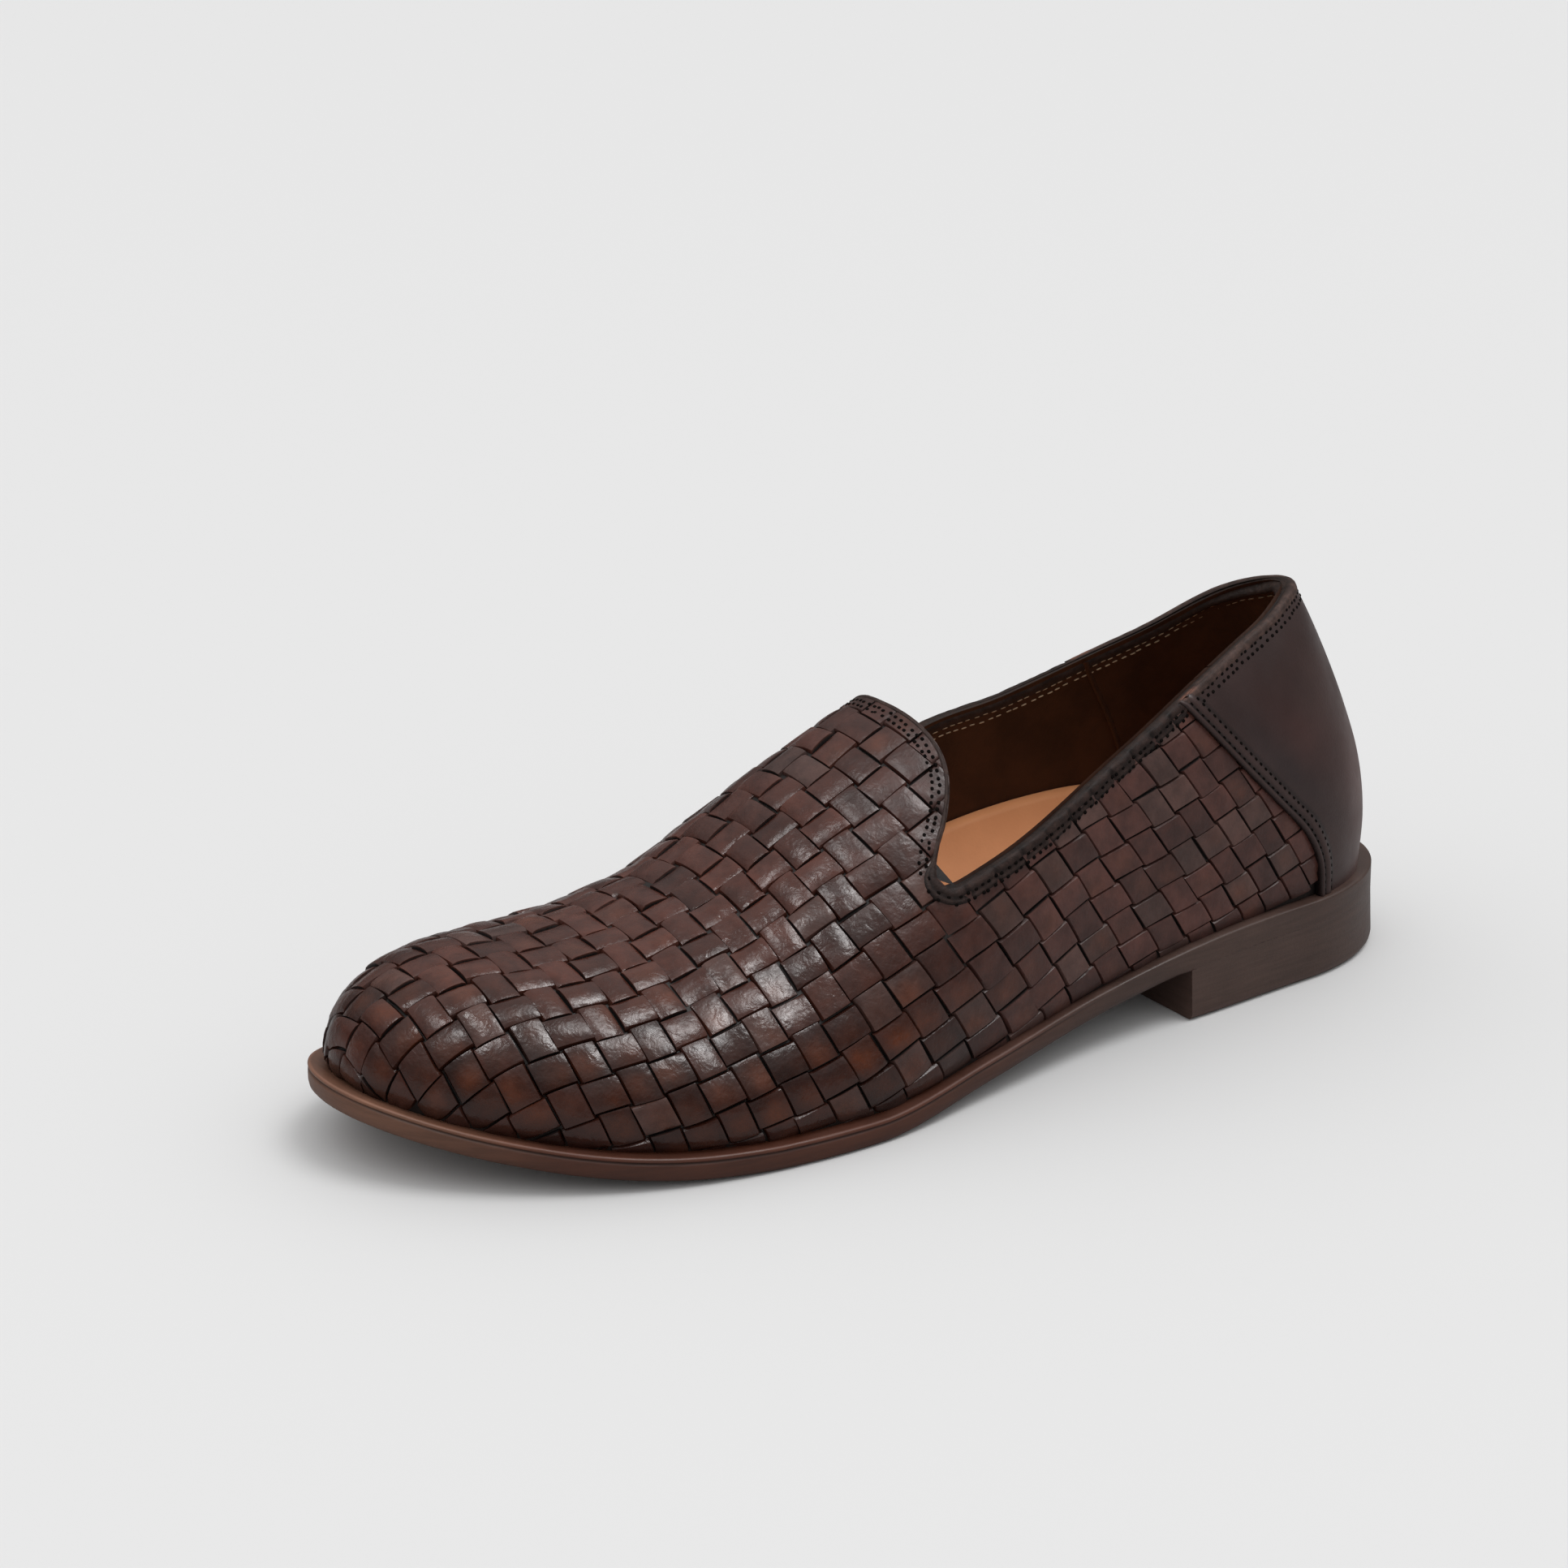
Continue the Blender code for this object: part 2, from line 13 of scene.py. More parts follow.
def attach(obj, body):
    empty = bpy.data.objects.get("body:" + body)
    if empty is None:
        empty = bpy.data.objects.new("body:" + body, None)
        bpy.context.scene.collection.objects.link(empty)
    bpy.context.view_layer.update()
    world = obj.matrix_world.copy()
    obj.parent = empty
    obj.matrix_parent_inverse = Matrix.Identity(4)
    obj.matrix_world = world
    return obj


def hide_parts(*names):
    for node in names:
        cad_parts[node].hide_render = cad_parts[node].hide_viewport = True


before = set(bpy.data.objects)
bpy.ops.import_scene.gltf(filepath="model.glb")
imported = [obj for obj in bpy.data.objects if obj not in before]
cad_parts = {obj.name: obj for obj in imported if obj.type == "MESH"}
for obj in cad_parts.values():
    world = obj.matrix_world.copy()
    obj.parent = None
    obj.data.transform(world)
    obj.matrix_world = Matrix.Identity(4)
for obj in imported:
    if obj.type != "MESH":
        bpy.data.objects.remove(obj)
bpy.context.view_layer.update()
rng = np.random.default_rng(11)

MM = 0.001


def table(columns, rows):
    """Named columns of a short table. The rows run along the first column."""
    return dict(zip(columns.split(), np.array(rows, float).T))


# Sizes of the sole and the last, as in the solids
LENGTH = 300.0
HEEL_ROUND = 38.6
TOE_ROUND = 70.6
TOE_POWER = 2.08
BREAST = 80.5
HEEL_FLARE = 0.4
TOE_MARGIN = 3.8
TOE_DOME = 51.0
TOE_DOME_POWER = 2.3
BULGE = 0.06
SOLE = table(
    "station centre half underside thickness margin",
    [
        (0, -0.9, 31.8, 14.7, 6.4, 2.6),
        (35, -0.6, 33.1, 14.7, 6.3, 2.4),
        (70, 1.6, 34.6, 14.2, 6.1, 2.0),
        (110, 3.0, 36.8, 9.4, 5.8, 1.8),
        (150, 5.2, 43.2, 4.2, 5.8, 2.2),
        (185, 3.8, 51.8, 0.0, 6.1, 3.0),
        (215, 1.6, 53.6, 0.0, 6.3, 3.2),
        (250, -2.8, 51.0, 2.6, 6.1, 3.2),
        (280, -7.7, 48.1, 8.5, 6.2, 3.2),
        (300, -10.9, 46.4, 14.0, 6.4, 3.2),
    ],
)
RIDGE = table(
    "station height offset spread outer inner",
    [
        (0, 101.0, 0.0, 2.0, 2.4, 2.4),
        (40, 102.0, 0.0, 2.0, 2.4, 2.4),
        (70, 102.0, 0.0, 2.0, 2.6, 2.6),
        (95, 101.0, -0.5, 2.0, 3.0, 3.0),
        (120, 97.0, -1.5, 2.0, 3.2, 3.2),
        (150, 86.3, -3.5, 2.0, 2.5, 2.6),
        (175, 72.8, -5.0, 2.0, 2.2, 2.5),
        (200, 55.9, -6.0, 2.1, 2.1, 2.5),
        (225, 47.4, -7.5, 2.2, 2.2, 2.5),
        (250, 45.4, -9.0, 2.3, 2.3, 2.5),
        (275, 48.6, -10.5, 2.3, 2.3, 2.4),
        (300, 50.5, -11.0, 2.3, 2.3, 2.3),
    ],
)
BACK = table(
    "height station round",
    [
        (10, 5.5, 34), (22, 5.0, 34), (35, 4.2, 34), (50, 6.1, 33),
        (65, 10.8, 31), (80, 16.6, 28), (95, 23.2, 22), (110, 30.0, 17),
    ],
)
TOPLINE = table(
    "station height tilt",
    [
        (20, 97.0, 0.10), (32, 94.4, 0.13), (45, 89.2, 0.18), (70, 80.9, 0.13),
        (95, 72.6, 0.06), (120, 65.6, -0.03), (140, 55.9, 0.04), (152, 51.6, 0.06),
    ],
)
TONGUE = table(
    "step station height",
    [
        (0, 152.0, 51.6), (1, 156.8, 50.9), (2, 159.6, 54.0), (3, 156.6, 60.0), (4, 152.6, 65.0),
        (5, 148.9, 71.0), (6, 146.7, 76.0), (7, 145.9, 81.0), (8, 147.0, 86.0), (9, 150.5, 90.0),
    ],
)
SEAM = table(
    "height station",
    [(20, 34.5), (32, 36.5), (40, 41.0), (49, 49.5), (60, 60.0), (71, 69.8), (80.5, 78.0), (104, 97.5)],
)
CROSS_PITCH = 8.4
RUN_PITCH = 9.0
FIRST_CROSS = 7.5
LAST_CROSS = 70.0
CROSS_LEAN = table(
    "station degrees bend",
    [
        (60, 33, 0), (150, 33, 0), (170, 31, 0.1), (187, 25, 0.4),
        (205, 18, 0.8), (225, 14, 1), (255, 12, 1), (300, 12, 1),
    ],
)
RUN_CLIMB = table("station rise", [(40, 30), (70, 17), (95, 7.5), (120, 1.5), (150, 0), (300, 0)])
RUN_TURN = table(
    "station inwards",
    [(150, 0), (175, 0), (190, 2.5), (215, 3.5), (245, 2.3), (268, 4.2), (285, 7), (300, 10)],
)
INSOLE_THICK = 4.0
INSOLE_BACK = 9.2
INSOLE_FRONT = 290.0
INSOLE_SKIN = -3.2
INSOLE_CUP = table(
    "station inner outer",
    [
        (0, 7, 7), (40, 11, 8), (75, 17, 6), (110, 19, 4),
        (140, 14, 3), (180, 4, 2), (220, 1.5, 1.5), (300, 1, 1),
    ],
)
CUP_POWER = 2.6
HEEL_DISH = 18.0

# Colours along the collar and of the counter
TONGUE_TONE = (0.050, 0.030, 0.025)
QUARTER_TONE = (0.030, 0.0168, 0.0140)
FOLD_TONE = (0.030, 0.017, 0.013)
RAW_TONE = (0.170, 0.075, 0.050)
COUNTER_TONE = (0.049, 0.0265, 0.0240)
COUNTER_EDGE_TONE = (0.070, 0.042, 0.035)

# Points along a traced line and along the ridge, and rounds that settle where a line meets the seat
TRACE_POINTS = 240
RIDGE_POINTS = 1600
SEAT_ROUNDS = 40

# Skins, as how far each stands out from the last
BACKING = -1.3
LINING = -2.7
COUNTER = 0.45


def along(rows, column, at):
    """Smooth curve through one column of a table."""
    keys = next(iter(rows.values()))
    values = rows[column]
    slopes = np.gradient(values, keys)
    at = np.clip(np.asarray(at, float), keys[0], keys[-1])
    low = np.clip(np.searchsorted(keys, at, side="right") - 1, 0, len(keys) - 2)
    step = keys[low + 1] - keys[low]
    t = (at - keys[low]) / step
    start = values[low] * (2 * t**3 - 3 * t**2 + 1) + slopes[low] * step * (t**3 - 2 * t**2 + t)
    end = values[low + 1] * (3 * t**2 - 2 * t**3) + slopes[low + 1] * step * (t**3 - t**2)
    return start + end


def rounded(share, power=2.0):
    """Share of the full width at a share of the way into a rounded end."""
    rest = 1 - np.clip(share, 0, 1)
    return np.clip(1 - rest**power, 0, 1) ** (1 / power)


def smooth(low, high, value):
    """0 below low, 1 above high, eased between."""
    t = np.clip((np.asarray(value, float) - low) / (high - low), 0, 1)
    return t * t * (3 - 2 * t)


def unit(vectors):
    """The same directions at length 1."""
    return vectors / np.maximum(np.linalg.norm(vectors, axis=-1, keepdims=True), 1e-9)


def reach_along(points):
    """Distance along a line at each of its points."""
    return np.concatenate([[0], np.cumsum(np.linalg.norm(np.diff(points, axis=0), axis=1))])


def underside(station):
    """Height of the sole's underside."""
    return np.maximum(along(SOLE, "underside", station), 0)


def seat(station):
    """Height of the sole's top, where the upper sits."""
    return underside(station) + along(SOLE, "thickness", station)


def sole_outline(station, side, cut):
    """Sideways place of the sole's edge, cut in by a distance."""
    ends = rounded((station - cut) / HEEL_ROUND) * rounded((LENGTH - cut - station) / TOE_ROUND, TOE_POWER)
    return along(SOLE, "centre", station) + side * (along(SOLE, "half", station) - cut) * ends


def toe_front(grow):
    """Foremost station of the last, grown by a distance."""
    return LENGTH - TOE_MARGIN + grow


def ridge(station, grow):
    """Height of the last's top line."""
    low = seat(station)
    dome = rounded((toe_front(grow) - station) / TOE_DOME, TOE_DOME_POWER)
    return low + (along(RIDGE, "height", station) + grow - low) * dome


def back_station(height, grow):
    """Rearmost station of the last at a height."""
    return along(BACK, "station", height) - grow


def skin(station, height, side, grow):
    """Sideways place of the last's surface at a station and a height, on the side with sign side."""
    side = np.sign(side)
    heel = rounded((station - back_station(height, grow)) / along(BACK, "round", height))
    ends = heel * rounded((toe_front(grow) - station) / TOE_ROUND, TOE_POWER)
    centre = along(SOLE, "centre", station)
    half = along(SOLE, "half", station) - along(SOLE, "margin", station) + grow
    low = seat(station)
    rise = np.clip((height - low) / np.maximum(ridge(station, grow) - low, MM), 0, 1)
    square = np.where(side > 0, along(RIDGE, "outer", station), along(RIDGE, "inner", station))
    share = np.clip(1 - rise**square, 0, 1) ** (1 / along(RIDGE, "spread", station))
    share = share * (1 + BULGE * 4 * rise * (1 - rise) ** 2)
    top = centre + (along(RIDGE, "offset", station) - centre) * ends
    return top + (centre + side * half * ends - top) * share


def trace(path, top, side, grow, below):
    """A line down one side of the skin to a depth below the seat, with distances along it."""
    low = top
    for _ in range(SEAT_ROUNDS):
        low = seat(path(low)) - below
    height = top + (low - top) * (1 - np.cos(np.linspace(0, np.pi / 2, TRACE_POINTS))) ** 1.5
    station = path(height)
    points = np.stack([station, skin(station, height, side, grow), height], axis=-1)
    return reach_along(points), points


def at_reach(reach, points, at):
    """Points at distances along a line."""
    return np.stack([np.interp(at, reach, points[:, k]) for k in range(3)], axis=-1)


def ridge_reach(grow, last):
    """Stations along the ridge from the toe back to the last one, with distances along it."""
    station = toe_front(grow) - (toe_front(grow) - last) * np.linspace(0, 1, RIDGE_POINTS) ** 2
    return station, reach_along(np.stack([station, ridge(station, grow)], axis=-1))


def cross_path(station, grow):
    """Leaning crosswise line of the weave that starts on the ridge at a station."""
    lean = np.tan(np.radians(along(CROSS_LEAN, "degrees", station)))
    bend = np.maximum(along(CROSS_LEAN, "bend", station), 0)
    top = ridge(station, grow)
    depth = top - seat(station)

    def path(height):
        share = np.minimum(np.abs(top - height) / depth, 1)
        return station - (top - height) * lean * share**bend

    return path


def seam_path(height):
    """Station of the counter's front edge."""
    return along(SEAM, "station", height)


def rear_path(first, share, grow):
    """Line a share of the way from another line to the back of the heel."""
    return lambda height: (1 - share) * first(height) + share * back_station(height, grow)


def rear_top(path, grow):
    """Height at which a line meets the ridge."""
    top = RIDGE["height"].max() + grow
    for _ in range(10):
        top = ridge(path(top), grow)
    return top


STATIONS = np.linspace(0, LENGTH, 300)
MIDDLE = (sole_outline(STATIONS, 1, 0).max() + sole_outline(STATIONS, -1, 0).min()) / 2


def place(points):
    """Station, x and z in millimetres to the part's frame in metres."""
    points = np.asarray(points, float)
    station, x, z = points[..., 0], points[..., 1], points[..., 2]
    return np.stack([x - MIDDLE, (LENGTH - HEEL_FLARE) / 2 - station, z], axis=-1) * MM


def tilt(station):
    """How much higher the topline lies per millimetre outwards."""
    return along(TOPLINE, "tilt", station)


# Where the topline ends and the tongue's edge begins, how far the side outline runs on past the shoe
NOTCH = TONGUE["station"][0]
TONGUE_TOP = TONGUE["step"][-1]
OUTLINE_BACK = -60.0
OUTLINE_TOP = 160.0
# Points that are compared with the outline at a time
CHUNK = 4000


def collar_outline():
    """Side outline of the topline and the tongue's edge, from the back of the heel to above the tongue."""
    stations = np.linspace(OUTLINE_BACK, NOTCH, 320)
    topline = np.stack([stations, along(TOPLINE, "height", stations)], axis=-1)
    steps = np.linspace(0, TONGUE_TOP, 160)[1:]
    tongue = np.stack([along(TONGUE, "station", steps), along(TONGUE, "height", steps)], axis=-1)
    return np.concatenate([topline, tongue, [(tongue[-1, 0], OUTLINE_TOP)]])


OUTLINE = collar_outline()


def collar_distance(points):
    """Distance into the leather from the collar's edge, negative in the opening, and the nearest edge."""
    flat = points.reshape(-1, 3)
    level = np.stack([flat[:, 0], flat[:, 2] - tilt(flat[:, 0]) * flat[:, 1]], axis=-1)
    distance = np.empty(len(flat))
    nearest = np.empty((len(flat), 2))
    start, end = OUTLINE[:-1], OUTLINE[1:]
    span = end - start
    for first in range(0, len(flat), CHUNK):
        part = level[first : first + CHUNK, None]
        t = np.clip(((part - start) * span).sum(-1) / (span**2).sum(-1), 0, 1)
        foot = start + span * t[..., None]
        gap = np.linalg.norm(part - foot, axis=-1)
        pick = gap.argmin(axis=1)
        rows = np.arange(len(pick))
        chosen = foot[rows, pick]
        away = part[:, 0] - chosen
        turn = span[pick, 0] * away[:, 1] - span[pick, 1] * away[:, 0]
        distance[first : first + CHUNK] = gap[rows, pick] * np.where(turn > 0, -1, 1)
        nearest[first : first + CHUNK] = chosen
    return distance.reshape(points.shape[:-1]), nearest.reshape(*points.shape[:-1], 2)


def trim_to_collar(points, grow):
    """Moves points in the opening on to the collar's edge. Returns the distances before the move."""
    distance, nearest = collar_distance(points)
    out = distance < 0
    if out.any():
        station, level = nearest[out].T
        side = np.where(points[out][:, 1] > along(RIDGE, "offset", station), 1, -1)
        x = points[out][:, 1]
        for _ in range(3):
            height = np.minimum(level + tilt(station) * x, ridge(station, grow))
            x = skin(station, height, side, grow)
        points[out] = np.stack([station, x, height], axis=-1)
    return distance


def shell(grow, rows, rear_rows, columns, below, last=LAST_CROSS):
    """Grid of points over the whole last: rows from the toe to the back, columns over the ridge."""
    shares = np.linspace(0, 1, columns + 1)
    station, reach = ridge_reach(grow, last)
    lines = []
    stations = np.interp(reach[-1] * np.linspace(0, 1, rows + 1) ** 1.5, reach, station)
    for at in np.minimum(stations, toe_front(grow) - 0.02):
        lines.append((cross_path(at, grow), ridge(at, grow)))
    path = lines[-1][0]
    for share in np.sin(np.linspace(0, np.pi / 2, rear_rows + 1)[1:]):
        rear = rear_path(path, share, grow)
        lines.append((rear, rear_top(rear, grow)))
    grid = []
    for line, top in lines:
        sides = []
        for side in (-1, 1):
            distance, points = trace(line, top, side, grow, below)
            sides.append(at_reach(distance, points, distance[-1] * shares))
        grid.append(np.concatenate([sides[0][::-1], sides[1][1:]]))
    return np.array(grid)


def link(name, data):
    """New object in the scene."""
    item = bpy.data.objects.new(name, data)
    bpy.context.scene.collection.objects.link(item)
    return item


def add_mesh(name, points, faces, material, tones=None):
    """Object from points in millimetres, riding on the shoe. A tone is a colour, or a colour and a gloss."""
    mesh = bpy.data.meshes.new(name)
    faces = faces if isinstance(faces, list) else faces.tolist()
    mesh.from_pydata(place(points).reshape(-1, 3).tolist(), [], faces)
    mesh.validate()
    mesh.shade_smooth()
    if tones is not None:
        layer = mesh.color_attributes.new("tone", "FLOAT_COLOR", "POINT")
        colours = np.ones((*tones.shape[:-1], 4), np.float32)
        colours[..., : tones.shape[-1]] = tones
        layer.data.foreach_set("color", colours.ravel())
    mesh.materials.append(material)
    item = link(name, mesh)
    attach(item, "root")
    return item


def grid_faces(rows, columns, closed=False):
    """Quads of one grid of points, closed where its last column joins its first."""
    index = np.arange(rows * columns).reshape(rows, columns)
    if closed:
        index = np.concatenate([index, index[:, :1]], axis=1)
    corners = (index[:-1, :-1], index[1:, :-1], index[1:, 1:], index[:-1, 1:])
    return np.stack(corners, axis=-1).reshape(-1, 4)


def repeated(faces, count, size):
    """The same faces for each of a number of equal pieces with a number of points."""
    return (faces[None] + (np.arange(count) * size)[:, None, None]).reshape(-1, 4)


def in_leather(faces, distance):
    """Faces with a corner inside the collar's edge."""
    return faces[(distance.reshape(-1)[faces] > 0).any(axis=1)]


# Materials


class Nodes:
    """Short way to build the shader nodes of a material or of the world."""

    def __init__(self, owner):
        self.owner = owner
        owner.use_nodes = True
        self.tree = owner.node_tree

    def set(self, socket, value):
        """Link a socket to another node, or give it a value."""
        if isinstance(value, bpy.types.NodeSocket):
            self.tree.links.new(value, socket)
        else:
            socket.default_value = value

    def add(self, kind, output, inputs, **settings):
        """New node with its inputs and settings. Returns one of its outputs."""
        node = self.tree.nodes.new(kind)
        for key, value in settings.items():
            setattr(node, key, value)
        for key, value in inputs.items():
            self.set(node.inputs[key], value)
        return node.outputs[output]

    def noise(self, scale, detail=3.0, rough=0.55, distortion=0.0, stretch=None):
        where = self.add("ShaderNodeTexCoord", "Object", {})
        if stretch is not None:
            where = self.add("ShaderNodeMapping", "Vector", {"Vector": where, "Scale": stretch})
        inputs = {"Vector": where, "Scale": scale, "Detail": detail}
        inputs |= {"Roughness": rough, "Distortion": distortion}
        return self.add("ShaderNodeTexNoise", "Fac", inputs)

    def pores(self, scale):
        where = self.add("ShaderNodeTexCoord", "Object", {})
        return self.add("ShaderNodeTexVoronoi", "Distance", {"Vector": where, "Scale": scale}, feature="F1")

    def span(self, value, low, high, out_low, out_high):
        """Value eased from one range to another."""
        inputs = {"Value": value, "From Min": low, "From Max": high, "To Min": out_low, "To Max": out_high}
        return self.add("ShaderNodeMapRange", "Result", inputs, interpolation_type="SMOOTHSTEP")

    def mix(self, kind, factor, *colours):
        first, second = ((*colour, 1.0) if isinstance(colour, tuple) else colour for colour in colours)
        inputs = {0: factor, 6: first, 7: second}
        return self.add("ShaderNodeMix", 2, inputs, data_type="RGBA", blend_type=kind)

    def shades(self, pattern, dark, light, low=0.3, high=0.7):
        return self.mix("MIX", self.span(pattern, low, high, 0, 1), dark, light)

    def times(self, first, second):
        return self.mix("MULTIPLY", 1.0, first, second)

    def maths(self, operation, first, second):
        return self.add("ShaderNodeMath", 0, {0: first, 1: second}, operation=operation)

    def tone(self, output="Color"):
        return self.add("ShaderNodeVertexColor", output, {}, layer_name="tone")

    def bump(self, height, strength, distance, under=None):
        inputs = {"Height": height, "Strength": strength, "Distance": distance}
        if under is not None:
            inputs["Normal"] = under
        return self.add("ShaderNodeBump", "Normal", inputs)

    def finish(self, colour, roughness, normal=None, coat=0.0, coat_roughness=0.3, specular=0.5):
        values = {"Base Color": colour, "Roughness": roughness, "Specular IOR Level": specular}
        values |= {"Coat Weight": coat, "Coat Roughness": coat_roughness}
        if normal is not None:
            values["Normal"] = normal
        for key, value in values.items():
            self.set(self.tree.nodes["Principled BSDF"].inputs[key], value)
        return self.owner


def new_material(name):
    """Nodes of a new material."""
    return Nodes(bpy.data.materials.new(name))


def woven_material():
    """Strips: tone from the strip, mottled, finely wrinkled, glossier where the tone's alpha is high."""
    m = new_material("woven_strips")
    mottle = m.noise(160, 4, 0.6)
    shade = m.shades(mottle, (0.74, 0.72, 0.72), (1.24, 1.22, 1.2))
    colour = m.times(m.tone(), shade)
    normal = m.bump(m.noise(150, 3, 0.55), 0.45, 0.0012)
    normal = m.bump(m.noise(420, 3, 0.5, 1.2), 0.22, 0.0006, normal)
    normal = m.bump(m.noise(1500, 3, 0.6, 0.4), 0.25, 0.0002, normal)
    rough = m.span(m.noise(240, 3, 0.6), 0.3, 0.75, 0.42, 0.58)
    rough = m.maths("SUBTRACT", rough, m.maths("MULTIPLY", m.tone("Alpha"), 0.22))
    return m.finish(colour, rough, normal, 0.06, 0.2, 0.45)


def smooth_material():
    """Counter: smooth leather with soft clouds of shade."""
    m = new_material("counter_leather")
    cloud = m.noise(34, 4, 0.55)
    colour = m.times(m.tone(), m.shades(cloud, (0.8, 0.78, 0.78), (1.18, 1.14, 1.12)))
    normal = m.bump(m.noise(130, 3, 0.5), 0.1, 0.0012)
    normal = m.bump(m.pores(1500), 0.12, 0.0002, normal)
    rough = m.span(m.noise(90, 3, 0.6), 0.3, 0.7, 0.38, 0.5)
    return m.finish(colour, rough, normal, 0.04, 0.3, 0.35)


def plain_leather(name, dark, light, rough, scale, strength, specular=0.5):
    """Leather of two close shades with a fine grain."""
    m = new_material(name)
    colour = m.shades(m.noise(scale, 5, 0.6), dark, light)
    normal = m.bump(m.noise(1100, 4, 0.6), strength, 0.0003)
    return m.finish(colour, rough, normal, specular=specular)


def rim_material():
    """Folded collar edge: tone from the piece, creased and rubbed along the fold."""
    m = new_material("rim_leather")
    lightness_pattern = m.noise(420, 4, 0.65)
    colour = m.times(m.tone(), m.shades(lightness_pattern, (0.7, 0.68, 0.68), (1.35, 1.3, 1.27), low=0.35))
    normal = m.bump(m.noise(650, 4, 0.65, 0.8), 0.5, 0.0006)
    return m.finish(colour, m.span(lightness_pattern, 0.3, 0.7, 0.5, 0.7), normal, specular=0.22)


def edge_material(name, stretch):
    """Cut and waxed leather edge: tone from the piece, streaked along its layers."""
    m = new_material(name)
    streak = m.noise(60, 6, 0.65, 0.0, stretch)
    blot = m.noise(45, 4, 0.6)
    layers = m.shades(streak, (0.84, 0.83, 0.82), (1.1, 1.09, 1.09))
    blots = m.shades(blot, (0.82, 0.8, 0.8), (1.12, 1.12, 1.12))
    colour = m.times(m.tone(), m.times(layers, blots))
    normal = m.bump(streak, 0.2, 0.0005)
    normal = m.bump(m.noise(900, 3, 0.6), 0.2, 0.0002, normal)
    return m.finish(colour, m.span(blot, 0.3, 0.7, 0.36, 0.52), normal)


WOVEN = woven_material()
SMOOTH = smooth_material()
BACKING_LEATHER = plain_leather("strip_backs", (0.010, 0.006, 0.005), (0.020, 0.011, 0.008), 0.6, 300, 0.3)
RIM = rim_material()
LINING_LEATHER = plain_leather(
    "lining_leather", (0.030, 0.0100, 0.0045), (0.056, 0.019, 0.008), 0.5, 60, 0.3, specular=0.3
)
INSOLE_LEATHER = plain_leather(
    "insole_leather", (0.72, 0.285, 0.110), (0.80, 0.325, 0.130), 0.65, 40, 0.25, specular=0.3
)
DARK_THREAD = plain_leather(
    "dark_thread", (0.003, 0.002, 0.002), (0.007, 0.005, 0.004), 0.8, 900, 0.3, specular=0.05
)
LIGHT_THREAD = plain_leather("light_thread", (0.30, 0.20, 0.12), (0.42, 0.30, 0.19), 0.6, 900, 0.3)
SOLE_EDGE = edge_material("sole_edge", (1, 1, 12))
HEEL_EDGE = edge_material("heel_edge", (1, 1, 14))


# Woven strips

SHEET_STEP = 0.6
SHEET_HALF = 126.0


def weave_sheet():
    """Skin and its normals on a grid of distance along the ridge and signed distance across it."""
    station, reach = ridge_reach(0.0, LAST_CROSS)
    rows = np.arange(0.05, reach[-1], SHEET_STEP)
    across = np.arange(-SHEET_HALF, SHEET_HALF + SHEET_STEP / 2, SHEET_STEP)
    grid = np.empty((len(rows), len(across), 3))
    for r, at in enumerate(np.interp(rows, reach, station)):
        climb = along(RUN_CLIMB, "rise", at)
        path, top = cross_path(at, 0.0), ridge(at, 0.0)
        inner_distance, inner = trace(path, top, -1, 0.0, 8.0)
        outer_distance, outer = trace(path, top, 1, 0.0, 8.0)
        distance = np.concatenate([-inner_distance[::-1], outer_distance[1:]])
        points = np.concatenate([inner[::-1], outer[1:]])
        want = np.sign(across) * np.maximum(np.abs(across) - climb, 0) - along(RUN_TURN, "inwards", at)
        grid[r] = at_reach(distance, points, np.clip(want, distance[0], distance[-1]))
    return rows, across, grid, unit(np.cross(np.gradient(grid, axis=1), np.gradient(grid, axis=0)))


ROWS, ACROSS, SHEET, SHEET_NORMAL = weave_sheet()


def sheet_at(values, a, b):
    """Value of the sheet at distances along and across."""
    u = np.clip((a - ROWS[0]) / SHEET_STEP, 0, len(ROWS) - 1.001)
    v = np.clip((b - ACROSS[0]) / SHEET_STEP, 0, len(ACROSS) - 1.001)
    i, j = u.astype(int), v.astype(int)
    f, g = (u - i)[..., None], (v - j)[..., None]
    low = values[i, j] * (1 - f) + values[i + 1, j] * f
    high = values[i, j + 1] * (1 - f) + values[i + 1, j + 1] * f
    return low * (1 - g) + high * g


# Along a strip: place as a share of the half cell. Across it: place, and depth of the edge in millimetres
HALF_RUN = np.array([0.2, 0.6, 0.82, 0.9, 0.96, 1.02, 1.08])
STRIP_RUN = np.concatenate([-HALF_RUN[::-1], HALF_RUN])
STRIP_EDGE = table("place drop", [(0.3, 0), (0.75, 0), (0.96, 0), (0.99, 0.03), (1.0, 0.6), (1.0, 1.6)])
STRIP_ACROSS = np.concatenate([-STRIP_EDGE["place"][::-1], STRIP_EDGE["place"]])
STRIP_DROP = np.concatenate([STRIP_EDGE["drop"][::-1], STRIP_EDGE["drop"]])
# Form of a strip on the quarters, and what the forefoot and the vamp add to it
CROWN = (0.09, 0.05, 0.12)
END_SLOPE = (0.08, 0.05, 0.14)
STRIP_WIDTH = (1.03, 0.0, 0.05)
DIVE_START = (0.82, 0.0, -0.03)
STRIP_TOP = 0.05
SIDE_CROWN = 0.25
END_DIVE = 1.9
DIVE_LENGTH = 0.22
DEEPEST = -2.2
# Share of its half cell over which a strip slopes down before it dives
SLOPE_BAND = (0.5, 0.9)
# Stations over which the quarters turn into the forefoot, share of the ridge's height where the vamp begins
FORE_FORM = (115, 200)
VAMP_FORM = (0.5, 0.9)
